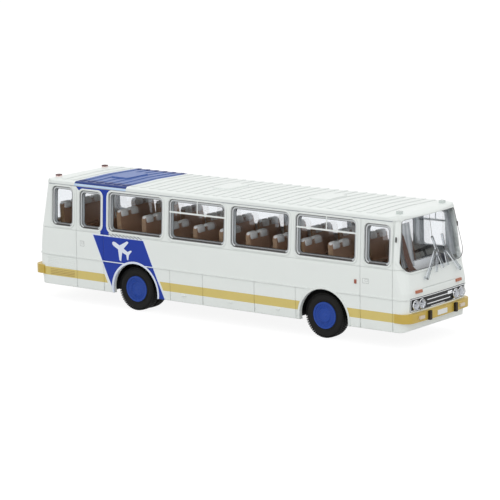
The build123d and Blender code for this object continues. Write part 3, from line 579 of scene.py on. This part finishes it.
def wall_place(side, x, z, out=0.0):
    """A place on the outer side wall: first axis along the side, second up it, third outwards."""
    rise = max(z - WAIST_Z, 0.0)
    lean = LEAN if rise > 0 else 0.0
    y = HALF_WIDTH - rise * LEAN_SLOPE
    outward = (0.0, side * cos(lean), sin(lean))
    origin = (x, side * (y + out * cos(lean)), z + out * sin(lean))
    return axes_at(origin, (-side, 0.0, 0.0), (0.0, -side * sin(lean), cos(lean)), outward)


# How far nose and tail are set in at some heights, and how far both are bowed back at some widths,
# in millimetres
NOSE_SET_BACK = ((2.0, 0.9), (9.0, 0.2), (14.0, 0.0), (19.0, 0.7), (36.0, 3.3))
TAIL_SET_IN = ((2.0, 0.75), (9.0, 0.0), (14.0, 0.0), (19.0, 0.45), (36.0, 3.05))
BOW_DROP = ((1.97, 0.0), (6.47, 0.105), (10.97, 0.35))
END_LEAN = atan2(2.6, 17.0)


def read_off(table, value):
    """Reads a table of points in millimetres between its rows."""
    value = min(max(value / MM, table[0][0]), table[-1][0])
    for (start, low), (stop, high) in zip(table, table[1:]):
        if value <= stop:
            return (low + (high - low) * (value - start) / (stop - start)) * MM
    return table[-1][1] * MM


def end_place(way, tip, table, y, z, out):
    """A place on one end of the bodywork: first axis across, second up it, third outwards."""
    x = tip - way * (read_off(table, z) + read_off(BOW_DROP, abs(y)))
    lean = END_LEAN if z >= WAIST_Z else 0.0
    outward = (way * cos(lean), 0.0, sin(lean))
    origin = (x + out * outward[0], y, z + out * outward[2])
    return axes_at(origin, (0.0, way, 0.0), (-way * sin(lean), 0.0, cos(lean)), outward)


def nose_place(y, z, out=0.0):
    """A place on the nose, its first axis to the left side."""
    return end_place(1, NOSE_X, NOSE_SET_BACK, y, z, out)


def tail_place(y, z, out=0.0):
    """A place on the tail, its first axis to the right side."""
    return end_place(-1, TAIL_X, TAIL_SET_IN, y, z, out)


# Glazing: rims and sill strips of painted shade, pale pane edges of painted highlight, and vent bars lying on
# the panes, reveals behind them
LAID_ON = 0.05 * MM
RIM_WIDTH = 0.2 * MM
RIM_GAP = 0.02 * MM
RIM_LINE = 0.1 * MM
EDGE_WIDTH = 0.42 * MM
SILL_HEIGHT = 0.32 * MM
REVEAL_SINK = 0.03 * MM
REVEAL_GAP = 0.04 * MM
REVEAL_WALL = 0.14 * MM
REVEAL_DEPTH = 1.2 * MM
INNER_WIDTH = 0.42 * MM
INNER_DEPTH = 0.1 * MM
INNER_LINE = 0.14 * MM


def panes(out):
    """Place, width and height of every side pane, the place standing out by a distance."""
    for side in SIDES:
        for x, width, top in WINDOWS[side]:
            place = wall_place(side, x, (top + WINDOW_Z) / 2, out - PANE_SINK)
            yield place, width, (top - WINDOW_Z) / cos(LEAN)


def window_shade_rims():
    """Painted shade: dark rims round the panes for their shadow gaps, a thin line inside them and a deeper
    dark strip along each sill, where the shade is deepest.
    """
    mesh = bmesh.new()
    inset = 2 * (RIM_WIDTH + EDGE_WIDTH)
    for place, pane_width, height in panes(LAID_ON):
        width = pane_width - RIM_GAP
        rounded_ring(mesh, width, height - RIM_GAP, WINDOW_CORNER, RIM_WIDTH, LAID_ON, place)
        corner = WINDOW_CORNER - inset / 4
        rounded_ring(mesh, width - inset, height - inset, corner, RIM_LINE, LAID_ON, place)
        sill = shifted(place, up=-height / 2 + RIM_WIDTH + SILL_HEIGHT / 2)
        block(mesh, (width - 2 * WINDOW_CORNER, SILL_HEIGHT, LAID_ON), sill, 0.01 * MM, 1)
    return piece("window_shade_rims", mesh, dark_line_and_shade, "bus", smooth=False)


def pane_edges():
    """Painted highlight: pale edges of the thick clear panes, seen inside the dark rims, for the light caught
    in them.
    """
    mesh = bmesh.new()
    inset, corner = 2 * RIM_WIDTH, WINDOW_CORNER - RIM_WIDTH / 2
    for place, width, height in panes(LAID_ON / 2):
        rounded_ring(mesh, width - inset, height - inset, corner, EDGE_WIDTH, LAID_ON / 2, place)
    return piece("pane_edges", mesh, pane_edge, "bus", smooth=False)


def pane_reveals():
    """Pale lining of each window opening behind its pane, with a flat inner frame."""
    mesh = bmesh.new()
    inset, corner = 2 * REVEAL_WALL, WINDOW_CORNER - REVEAL_WALL / 2
    for place, pane_width, height in panes(-REVEAL_SINK):
        width = pane_width - REVEAL_GAP
        rounded_ring(mesh, width, height - REVEAL_GAP, WINDOW_CORNER, REVEAL_WALL, REVEAL_DEPTH, place)
        behind = shifted(place, out=INNER_DEPTH - REVEAL_DEPTH)
        rounded_ring(mesh, width - inset, height - inset, corner, INNER_WIDTH, INNER_DEPTH, behind)
    return piece("pane_reveals", mesh, pane_edge, "bus", smooth=False)


def inner_shade_lines():
    """Painted shade: thin dark lines round the inner frames."""
    mesh = bmesh.new()
    inset = 2 * (REVEAL_WALL + INNER_WIDTH)
    corner = WINDOW_CORNER - inset / 4
    for place, width, height in panes(0.05 * MM - REVEAL_DEPTH):
        rounded_ring(mesh, width - inset, height - inset, corner, INNER_LINE, INNER_DEPTH, place)
    return piece("inner_shade_lines", mesh, dark_line_and_shade, "bus", smooth=False)


VENT_BAR_Z = 27.9 * MM
VENT_BAR_HEIGHT = 0.45 * MM
VENT_BAR_GAP = 0.3 * MM
DIVIDER_WIDTH = 0.3 * MM
VENTS = [(side, x, BAY_WIDTH) for side in SIDES for x in (BAYS[1], BAYS[3])] + [(1, *DRIVER_WINDOW[:2])]


def vent_bars():
    """White bars of the sliding vents in the second and fourth bays and by the driver."""
    mesh = bmesh.new()
    for side, x, width in VENTS:
        level = wall_place(side, x, VENT_BAR_Z, LAID_ON - PANE_SINK)
        block(mesh, (width - VENT_BAR_GAP, VENT_BAR_HEIGHT, 2 * LAID_ON), level, 0.02 * MM)
        height = WINDOW_TOP_Z - VENT_BAR_Z - VENT_BAR_HEIGHT / 2
        middle_z = VENT_BAR_Z + (VENT_BAR_HEIGHT + height) / 2
        upright = wall_place(side, x, middle_z, LAID_ON - PANE_SINK)
        block(mesh, (DIVIDER_WIDTH, height, 2 * LAID_ON), upright, 0.02 * MM)
    return piece("vent_bars", mesh, trim_white, "bus", smooth=False)


# Foot, top, half widths at both, and corner radii at both, of the windscreen and the rear window
SCREENS = (
    (nose_place, (19.1, 32.1), (13.7, 12.1), (2.6, 1.0)),
    (tail_place, (21.0, 31.2), (12.3, 11.3), (2.0, 2.0)),
)
SCREEN_MIDDLE_Z = 25.6 * MM
BEAD_WIDTH = 0.16 * MM
BEAD_OUT = 0.06 * MM
CORNER_STEPS = 4


def screen_rims():
    """Thin dark beads round the windscreen and the rear window, and the windscreen's middle seam."""
    mesh = bmesh.new()
    for place, heights, halves, radii in SCREENS:
        screen_rim(mesh, place, *[(foot * MM, top * MM) for foot, top in (heights, halves, radii)])
    seam = nose_place(0.0, SCREEN_MIDDLE_Z, 0.03 * MM - PANE_SINK)
    block(mesh, (0.13 * MM, 13.0 * MM, LAID_ON), seam, 0.01 * MM, 1)
    return piece("screen_rims", mesh, dark_line_and_shade, "bus", smooth=False)


def screen_rim(mesh, place, heights, halves, radii):
    """A thin bead round a screen, following the bowed end of the bodywork."""
    low, high = heights
    points = []
    for half, radius, z, start in (
        (halves[0], radii[0], low + radii[0], -90), (halves[1], radii[1], high - radii[1], 0),
    ):
        for step in range(CORNER_STEPS + 1):
            turn = (start + step * 90 / CORNER_STEPS) * pi / 180
            points.append((half - radius + radius * cos(turn), z + radius * sin(turn)))
    points += [(-y, z) for y, z in reversed(points)]
    loops = []
    for shrink in (0.0, BEAD_WIDTH):
        row = []
        for y, z in points:
            inward = (y * (1 - shrink / halves[0]), z + shrink * (1 if z < (low + high) / 2 else -1))
            row.append(mesh.verts.new(place(*inward, BEAD_OUT - PANE_SINK).to_translation()))
        loops += [mesh.edges.new(pair) for pair in zip(row, row[1:] + row[:1])]
    bridge = bmesh.ops.bridge_loops(mesh, edges=loops)
    bmesh.ops.solidify(mesh, geom=bridge["faces"], thickness=LAID_ON)


window_shade_rims()
pane_edges()
pane_reveals()
inner_shade_lines()
vent_bars()
screen_rims()


# Seats: grey covers over every headrest
FIRST_SEAT_X = -32.65 * MM
SEAT_PITCH = 8.625 * MM
SEAT_ROWS = 9
SEAT_PLACE = 4.2 * MM
PAIR_Y = 8.32 * MM
BENCH_X = -54.45 * MM
BENCH_PLACES = 5
DRIVER_X = 45.9 * MM
DRIVER_Y = 7.4 * MM
BACK_RAKE = 0.134
# Tops of the seats on the tail platform, on the step and on the floor
SEAT_TOPS = (26.3 * MM, 25.4 * MM, 24.4 * MM)
COVER_SIZE = (1.75 * MM, 3.55 * MM, 2.3 * MM)
COVER_ROUNDING = 0.78 * MM
COVER_BACK = 0.33 * MM
COVER_DROP = 0.98 * MM


def head_covers():
    """Rounded grey covers over the headrests."""
    places = []
    for side in SIDES:
        rows = range(SEAT_ROWS) if side < 0 else range(-1, SEAT_ROWS)
        for row in rows:
            top = SEAT_TOPS[min(max(row, 0), 2)]
            for across in (-SEAT_PLACE / 2, SEAT_PLACE / 2):
                places.append((FIRST_SEAT_X + row * SEAT_PITCH, side * PAIR_Y + across, top))
    for seat in range(BENCH_PLACES):
        places.append((BENCH_X, (seat - BENCH_PLACES // 2) * SEAT_PLACE, SEAT_TOPS[0]))
    places.append((DRIVER_X, DRIVER_Y, SEAT_TOPS[2]))
    mesh = bmesh.new()
    for x, y, top in places:
        middle = Matrix.Translation((x - COVER_BACK, y, top - COVER_DROP))
        block(mesh, COVER_SIZE, middle @ Matrix.Rotation(-BACK_RAKE, 4, "Y"), COVER_ROUNDING, 3)
    return piece("head_covers", mesh, cover_grey, "bus")


SCREEN_BACK = -1.25 * MM
# Middle and width of the pale sheet of painted reflection at each end of the windscreen
SCREEN_ENDS = ((-9.0 * MM, 5.6 * MM), (11.2 * MM, 2.4 * MM))
# Outline of the trim on the corner post, across and up the nose, in millimetres
POST_OUTLINE = (
    (-11.3, 29.2), (-10.5, 28.1), (-9.7, 25.2), (-9.2, 22.8), (-8.2, 20.2), (-7.0, 18.9), (-8.6, 18.4),
    (-10.0, 19.6), (-11.3, 22.7), (-11.6, 26.0),
)


def entrance_trim():
    """Brown trim that curves down the front corner on the door side, behind the windscreen."""
    mesh = bmesh.new()
    points = [nose_place(y * MM, z * MM, SCREEN_BACK).to_translation() for y, z in POST_OUTLINE]
    slab(mesh, points, 0.25 * MM)
    return piece("entrance_trim", mesh, post_brown, "bus", smooth=False)


def screen_corner_sheens():
    """Painted reflection: pale sheets behind both ends of the windscreen, where it turns round the corners.
    """
    mesh = bmesh.new()
    for y, width in SCREEN_ENDS:
        place = nose_place(y, SCREEN_MIDDLE_Z, SCREEN_BACK - 0.9 * MM)
        block(mesh, (width, 11.0 * MM, 0.12 * MM), place, 0.04 * MM, 1)
    return piece("screen_corner_sheens", mesh, glass_sheen, "bus", smooth=False)


head_covers()
entrance_trim()
screen_corner_sheens()


# Wheels: treaded tyres in the place of the plain ones, and ribbed, bolted discs on the hubs
TREAD_BASE = 5.6 * MM
TREAD_ROWS = 4
LUG_COUNT = 60
LUG_LENGTH = 0.38 * MM
LUG_GAP = 0.2 * MM
LUG_ROOT = 0.08 * MM
SHOULDER_DROP = 0.06 * MM
# Radius of a tyre's side from rim to tread, and how far each point lies in from its face
TYRE_SIDE = (
    (3.46, 0.42), (3.56, 0.12), (3.8, 0.02), (3.95, 0.02), (4.02, 0.1), (4.5, 0.0), (4.72, 0.0),
    (4.8, 0.0), (4.9, 0.0), (4.98, 0.03), (5.3, 0.14), (5.52, 0.34), (5.6, 0.6),
)


def wheel_place(axle_x, side, out=0.0):
    """Place of a wheel's face, its third axis outwards along the axle."""
    origin = (axle_x, side * (TYRE_FACE_Y + out), AXLE_Z)
    return axes_at(origin, (1.0, 0.0, 0.0), (0.0, 0.0, -side), (0.0, side, 0.0))


def tyre_carcass(mesh, place, width, start):
    """One tyre from start inwards: a bulging carcass with sidewall rings, and rows of tread lugs."""
    near = [(radius * MM, -(start + inset * MM)) for radius, inset in TYRE_SIDE]
    far = [(radius, -(2 * start + width) - along) for radius, along in near]
    spun(mesh, near + far[::-1], 56, place)
    for row in range(TREAD_ROWS):
        inset = start + width * (row + 0.5) / TREAD_ROWS
        stagger = pi / LUG_COUNT * (row % 2)
        drop = SHOULDER_DROP if row in (0, TREAD_ROWS - 1) else 0.0
        height = TYRE_RADIUS - 0.01 * MM - TREAD_BASE - drop
        size = (height + LUG_ROOT, LUG_LENGTH, width / TREAD_ROWS - LUG_GAP)
        for lug in range(LUG_COUNT):
            turn = place @ Matrix.Rotation(2 * pi * lug / LUG_COUNT + stagger, 4, "Z")
            block(mesh, size, shifted(turn, along=TREAD_BASE + (height - LUG_ROOT) / 2, out=-inset))


def tyre(end, side):
    """The treaded tyre, or pair of tyres, on one end of an axle."""
    mesh = bmesh.new()
    place = wheel_place(FRONT_AXLE_X if end == "front" else REAR_AXLE_X, side)
    if end == "front":
        tyre_carcass(mesh, place, FRONT_TYRE_WIDTH, 0.0)
    else:
        single = (REAR_TYRE_WIDTH - TWIN_GAP) / 2
        for start in (0.0, single + TWIN_GAP):
            tyre_carcass(mesh, place, single, start)
    side_name = "left" if side > 0 else "right"
    made = piece(f"{end}_{side_name}_tread", mesh, tyre_rubber, f"{end}_axle_set", smooth=False)
    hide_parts(f"{end}_{side_name}_tyre")
    return made


HUB_RIBS = 30
HUB_BOLTS = 8


def wheel_discs(end, axle_x, floor, cap):
    """Rim ring, slotted dish, inner ring, boss and bolts on both discs of an axle."""
    rim = [(3.44, -0.05), (3.4, 0.0), (3.3, 0.0), (3.22, -0.06), (3.16, -0.2)]
    dish = [
        (3.2, -0.2), (3.1, -0.13), (3.0, -0.13), (2.92, -0.24), (2.2, -0.26), (1.8, -0.24), (1.8, -floor),
    ]
    ring = [(1.5, -cap - 0.1), (1.54, -cap + 0.05), (1.66, -cap + 0.05), (1.76, -0.2), (1.84, -0.26)]
    boss = [(0.0, -cap + 0.14), (0.4, -cap + 0.12), (0.56, -cap + 0.02), (0.6, -cap - 0.05)]
    bolt_head = in_metres([(0.0, 0.12), (0.12, 0.1), (0.15, -0.02)])
    mesh = bmesh.new()
    for side in SIDES:
        place = wheel_place(axle_x, side)
        for profile, steps in ((rim, 48), (dish, 48), (ring, 32), (boss, 20)):
            spun(mesh, in_metres(profile), steps, place)
        for rib in range(HUB_RIBS):
            turn = place @ Matrix.Rotation(2 * pi * rib / HUB_RIBS, 4, "Z")
            block(mesh, (0.95 * MM, 0.17 * MM, 0.12 * MM), shifted(turn, along=2.42 * MM, out=-0.22 * MM))
        for bolt in range(HUB_BOLTS):
            turn = place @ Matrix.Rotation(2 * pi * (bolt + 0.5) / HUB_BOLTS, 4, "Z")
            spun(mesh, bolt_head, 6, shifted(turn, along=1.05 * MM, out=-cap * MM))
    return piece(f"{end}_wheel_discs", mesh, hub_blue, f"{end}_axle_set", smooth=False)


for end in ("front", "rear"):
    for side in SIDES:
        tyre(end, side)
wheel_discs("front", FRONT_AXLE_X, 0.35, 0.1)
wheel_discs("rear", REAR_AXLE_X, 0.6, 0.4)


# Nose: headlamp bowls and bezels, grille slats and a blank plaque
LAMP_YS = (-10.4 * MM, -7.75 * MM, 7.75 * MM, 10.4 * MM)
LAMP_Z = 10.9 * MM
GRILLE_BAR_ZS = (10.35 * MM, 11.45 * MM)
SLAT_START_Z = 9.62
SLAT_PITCH = 0.37


def lamp_bowls():
    """Bright bowls with a small bulb inside the headlamps."""
    bowl = [(1.12, 0.34), (1.0, 0.12), (0.7, -0.02), (0.35, -0.08), (0.22, -0.08)]
    bulb = [(0.2, 0.16), (0.1, 0.26), (0.0, 0.28)]
    mesh = bmesh.new()
    for y in LAMP_YS:
        spun(mesh, in_metres(bowl + bulb), 24, nose_place(y, LAMP_Z))
    return piece("lamp_bowls", mesh, reflector, "bus")


def lamp_bezels():
    """Bright round bezels about the headlamps."""
    profile = [(1.16, -0.1), (1.16, 0.4), (1.22, 0.46), (1.3, 0.38), (1.32, -0.1)]
    mesh = bmesh.new()
    for y in LAMP_YS:
        spun(mesh, in_metres(profile), 28, nose_place(y, LAMP_Z), closed=True)
    return piece("lamp_bezels", mesh, bright_trim, "bus")


def grille_slats():
    """Fine black slats across the grille, clear of its bars, and its black surround."""
    mesh = bmesh.new()
    for slat in range(8):
        z = (SLAT_START_Z + slat * SLAT_PITCH) * MM
        if all(abs(z - bar_z) >= 0.2 * MM for bar_z in GRILLE_BAR_ZS):
            block(mesh, (12.6 * MM, 0.13 * MM, 0.36 * MM), nose_place(0.0, z, -0.18 * MM), 0.02 * MM, 1)
    surround = nose_place(0.0, 11.0 * MM, -0.02 * MM)
    rounded_ring(mesh, 13.4 * MM, 3.0 * MM, 0.3 * MM, 0.16 * MM, 0.3 * MM, surround)
    return piece("grille_slats", mesh, grille_black, "bus", smooth=False)


def nose_plaque():
    """A small blank bright plaque at the end of the upper grille bar."""
    mesh = bmesh.new()
    block(mesh, (2.2 * MM, 0.85 * MM, 0.25 * MM), nose_place(5.2 * MM, 11.6 * MM), 0.06 * MM)
    return piece("nose_plaque", mesh, bright_trim, "bus")


lamp_bowls()
lamp_bezels()
grille_slats()
nose_plaque()


# Small mouldings of the sides and of the tail. Places and sizes of the recesses are in millimetres
RECESSES = ((-44.2, 16.5, 1.5, 1.5), (48.25, 16.35, 2.0, 1.3))
JACKING_XS = (-9.5 * MM, 5.7 * MM, 21.1 * MM)
DOOR_SEAMS = (-46.25 * MM, -36.75 * MM, 46.55 * MM, 56.25 * MM)
DOOR_SEAM_HEIGHTS = ((4.6 * MM, 18.9 * MM), (20.0 * MM, 31.9 * MM))
FLAP_SEAMS = (-14.15 * MM, -3.25 * MM, 13.55 * MM, 26.65 * MM)
FLAP_SEAM_Z = 8.4 * MM
FLAP_SEAM_HEIGHT = 7.4 * MM
WAIST_SEAM_Z = WAIST_Z + 0.85 * MM
SEAM_WIDTH = 0.1 * MM
SEAM_DEPTH = 0.08 * MM
SEAM_SINK = 0.035 * MM
SIDE_LENGTH = 112.0 * MM


def side_recesses():
    """Painted shade: thin grey outlines of the door handles, fillers and service flaps, for the shade in
    their recesses.
    """
    mesh = bmesh.new()
    for side in SIDES:
        for x, z, width, height in RECESSES:
            place = wall_place(side, x * MM, z * MM, 0.01 * MM)
            rounded_ring(mesh, width * MM, height * MM, 0.15 * MM, 0.12 * MM, 0.03 * MM, place)
            inner = shifted(place, along=0.1 * width * MM, up=0.1 * height * MM)
            rounded_ring(mesh, 0.5 * width * MM, 0.45 * height * MM, 0.1 * MM, 0.09 * MM, 0.03 * MM, inner)
    return piece("side_recesses", mesh, recess_shade_grey, "bus", smooth=False)


def skirt_lugs():
    """Small jacking lugs under the ochre band."""
    mesh = bmesh.new()
    for side in SIDES:
        for x in JACKING_XS:
            place = wall_place(side, x, 6.1 * MM, 0.08 * MM)
            block(mesh, (1.1 * MM, 0.42 * MM, 0.3 * MM), place, 0.08 * MM)
    return piece("skirt_lugs", mesh, trim_white, "bus")


def seam_fillers():
    """Fills the panel gaps up to a fine line, in the colours of the paint round them."""
    mesh = bmesh.new()
    sunk = -SEAM_SINK - SEAM_DEPTH / 2
    for x in DOOR_SEAMS:
        for low, high in DOOR_SEAM_HEIGHTS:
            block(mesh, (SEAM_WIDTH, high - low, SEAM_DEPTH), wall_place(-1, x, (low + high) / 2, sunk))
    for side in SIDES:
        for x in FLAP_SEAMS:
            flap = wall_place(side, x, FLAP_SEAM_Z, sunk)
            block(mesh, (SEAM_WIDTH, FLAP_SEAM_HEIGHT, SEAM_DEPTH), flap)
        waist = wall_place(side, -0.5 * MM, WAIST_SEAM_Z, sunk)
        block(mesh, (SIDE_LENGTH, 0.09 * MM, SEAM_DEPTH), waist)
    return piece("seam_fillers", mesh, body_white, "bus", smooth=False)


def gutter_lines():
    """Thin shadow lines under the gutters."""
    mesh = bmesh.new()
    for side in SIDES:
        block(mesh, (SIDE_LENGTH, 0.2 * MM, LAID_ON), wall_place(side, 0.0, 31.9 * MM, 0.02 * MM))
    return piece("gutter_lines", mesh, line_grey, "bus", smooth=False)


STROKE_START_X = -34.2
STROKE_PITCH = 1.25
STROKE_TILT = 0.42


def sill_strokes():
    """Short slanting strokes under the window over the rear wheel."""
    mesh = bmesh.new()
    for side in SIDES:
        for stroke in range(9):
            x = (STROKE_START_X + STROKE_PITCH * stroke) * MM
            place = wall_place(side, x, 19.8 * MM, 0.03 * MM)
            tilted = place @ Matrix.Rotation(side * STROKE_TILT, 4, "Z")
            block(mesh, (1.6 * MM, 0.26 * MM, LAID_ON), tilted)
    return piece("sill_strokes", mesh, line_grey, "bus", smooth=False)


def tail_louvres():
    """Cooling louvres low on the tail's sides, and framed ones across its back."""
    mesh = bmesh.new()
    for side in SIDES:
        for slat in range(7):
            place = wall_place(side, -51.8 * MM, (9.3 + 0.48 * slat) * MM, 0.02 * MM)
            block(mesh, (9.4 * MM, 0.16 * MM, 0.12 * MM), place, 0.03 * MM, 1)
    for slat in range(9):
        place = tail_place(0.0, (11.0 + 0.6 * slat) * MM, 0.04 * MM)
        block(mesh, (13.0 * MM, 0.22 * MM, 0.24 * MM), place, 0.05 * MM, 1)
    surround = tail_place(0.0, 13.4 * MM, 0.1 * MM)
    rounded_ring(mesh, 14.2 * MM, 6.2 * MM, 0.6 * MM, 0.3 * MM, 0.16 * MM, surround)
    return piece("tail_louvres", mesh, trim_white, "bus")


def band_louvres():
    """Shaded louvre lines where the ochre band crosses the engine bay."""
    mesh = bmesh.new()
    for side in SIDES:
        for slat in range(4):
            place = wall_place(side, -51.4 * MM, (7.1 + 0.44 * slat) * MM)
            block(mesh, (8.6 * MM, 0.1 * MM, 0.06 * MM), place)
    return piece("band_louvres", mesh, louvre_shade, "bus", smooth=False)


def mirror_slots():
    """Painted shade: dark patches for the shaded mirror-arm slots on the front corner posts."""
    mesh = bmesh.new()
    for side in SIDES:
        place = wall_place(side, 57.1 * MM, 27.5 * MM)
        block(mesh, (0.5 * MM, 1.25 * MM, 0.06 * MM), place, 0.02 * MM, 1)
    return piece("mirror_slots", mesh, dark_line_and_shade, "bus", smooth=False)


def board_frame():
    """A thin frame round the blank route board."""
    mesh = bmesh.new()
    low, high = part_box("route_board")
    middle = (high[0] + 0.02 * MM, (low[1] + high[1]) / 2, (low[2] + high[2]) / 2)
    place = axes_at(middle, (0.0, 1.0, 0.0), (0.0, 0.0, 1.0), (1.0, 0.0, 0.0))
    rounded_ring(mesh, high[1] - low[1], high[2] - low[2], 0.4 * MM, 0.1 * MM, 0.03 * MM, place)
    return piece("board_frame", mesh, dark_line_and_shade, "bus", smooth=False)


side_recesses()
skirt_lugs()
seam_fillers()
gutter_lines()
sill_strokes()
tail_louvres()
band_louvres()
mirror_slots()
board_frame()


# Middle of the mark, its turn, and half of its outline across and along, in millimetres
MARK_X = -30.45 * MM
MARK_Z = 16.3 * MM
MARK_TURN = 1.1
HALF_PLANE = [
    (0.0, 3.5), (0.42, 3.25), (0.62, 2.6), (0.62, 1.0), (3.0, -0.7), (3.0, -1.35), (0.62, -0.6),
    (0.5, -2.1), (1.45, -2.85), (1.45, -3.3), (0.0, -2.9),
]


def plane_mark():
    """A plain aeroplane seen from above, printed in the blue panel."""
    mesh = bmesh.new()
    outline = HALF_PLANE + [(-across, along) for across, along in reversed(HALF_PLANE[1:-1])]
    for side in SIDES:
        place = wall_place(side, MARK_X, MARK_Z, LAID_ON) @ Matrix.Rotation(-side * MARK_TURN, 4, "Z")
        slab(mesh, [place @ Vector((u * MM, v * MM, 0.0)) for u, v in outline], -LAID_ON)
    return piece("plane_mark", mesh, print_white, "bus", smooth=False)


plane_mark()


# Studio: floor, its glow and the light of the surround, which both differ for what the camera sees
FLOOR_HALF = 4.0
FLOOR_GLOW = 0.9
FILL = 0.76
AIM = Vector((0.0, 0.0, 0.015))


def studio():
    """Camera, floor, soft lights and a white surround."""
    data = bpy.data.cameras.new("camera")
    data.sensor_width = SENSOR_WIDTH
    data.lens = CAMERA_LENS
    data.clip_start = 0.01
    camera = bpy.data.objects.new("camera", data)
    turn = Matrix.Rotation(CAMERA_YAW, 4, "Z") @ Matrix.Rotation(CAMERA_PITCH, 4, "X")
    camera.matrix_world = Matrix.Translation(CAMERA_PLACE) @ turn @ Matrix.Rotation(CAMERA_ROLL, 4, "Z")
    bpy.context.scene.collection.objects.link(camera)
    bpy.context.scene.camera = camera

    mesh = bmesh.new()
    bmesh.ops.create_grid(mesh, x_segments=1, y_segments=1, size=FLOOR_HALF)
    data = bpy.data.meshes.new("floor")
    mesh.to_mesh(data)
    mesh.free()
    floor = bpy.data.objects.new("floor", data)
    bpy.context.scene.collection.objects.link(floor)
    data.materials.append(floor_paper())

    white_surround()
    soft_light("top", (0.1, -0.1, 0.9), 0.9, 1.5)
    soft_light("side", (0.55, -0.95, 0.5), 0.8, 2.15)


def seen_share(tree):
    """1 for what the camera sees, straight or through gloss and glass."""
    path = tree.nodes.new("ShaderNodeLightPath")
    share = path.outputs["Is Camera Ray"]
    for name in ("Is Glossy Ray", "Is Transmission Ray"):
        most = tree.nodes.new("ShaderNodeMath")
        most.operation = "MAXIMUM"
        tree.links.new(share, most.inputs[0])
        tree.links.new(path.outputs[name], most.inputs[1])
        share = most.outputs[0]
    return share


def floor_paper():
    """White paper that keeps a faint soft shadow and looks white to the camera."""
    look = Finish("floor_paper")
    seen = seen_share(look.tree)
    paper = look.mix(seen, srgb(208, 208, 208), srgb(116, 116, 116))
    look.finish(paper, 0.9, 0.05, Specular_IOR_Level=0.1)
    glow = look.node("ShaderNodeEmission")
    look.put(glow.inputs["Strength"], look.number("MULTIPLY", seen, FLOOR_GLOW))
    total = look.node("ShaderNodeAddShader")
    look.put(total.inputs[0], look.surface.outputs[0])
    look.put(total.inputs[1], glow.outputs[0])
    look.put(look.tree.nodes["Material Output"].inputs["Surface"], total.outputs[0])
    return look.material


def white_surround():
    """A world that looks white and lights the object evenly."""
    world = bpy.data.worlds.new("surround")
    bpy.context.scene.world = world
    world.use_nodes = True
    tree = world.node_tree
    light = tree.nodes["Background"]
    light.inputs["Color"].default_value = (1.0, 1.0, 1.0, 1.0)
    level = tree.nodes.new("ShaderNodeMapRange")
    tree.links.new(seen_share(tree), level.inputs["Value"])
    level.inputs["To Min"].default_value = FILL
    level.inputs["To Max"].default_value = 1.0
    tree.links.new(level.outputs["Result"], light.inputs["Strength"])


def soft_light(name, place, size, power):
    """A square soft light aimed at the middle of the coach."""
    data = bpy.data.lights.new(name, "AREA")
    data.size = size
    data.energy = power
    light = bpy.data.objects.new(name, data)
    facing = (AIM - Vector(place)).to_track_quat("-Z", "Y").to_matrix().to_4x4()
    light.matrix_world = Matrix.Translation(place) @ facing
    bpy.context.scene.collection.objects.link(light)


studio()
bpy.context.scene.view_settings.view_transform = "Standard"
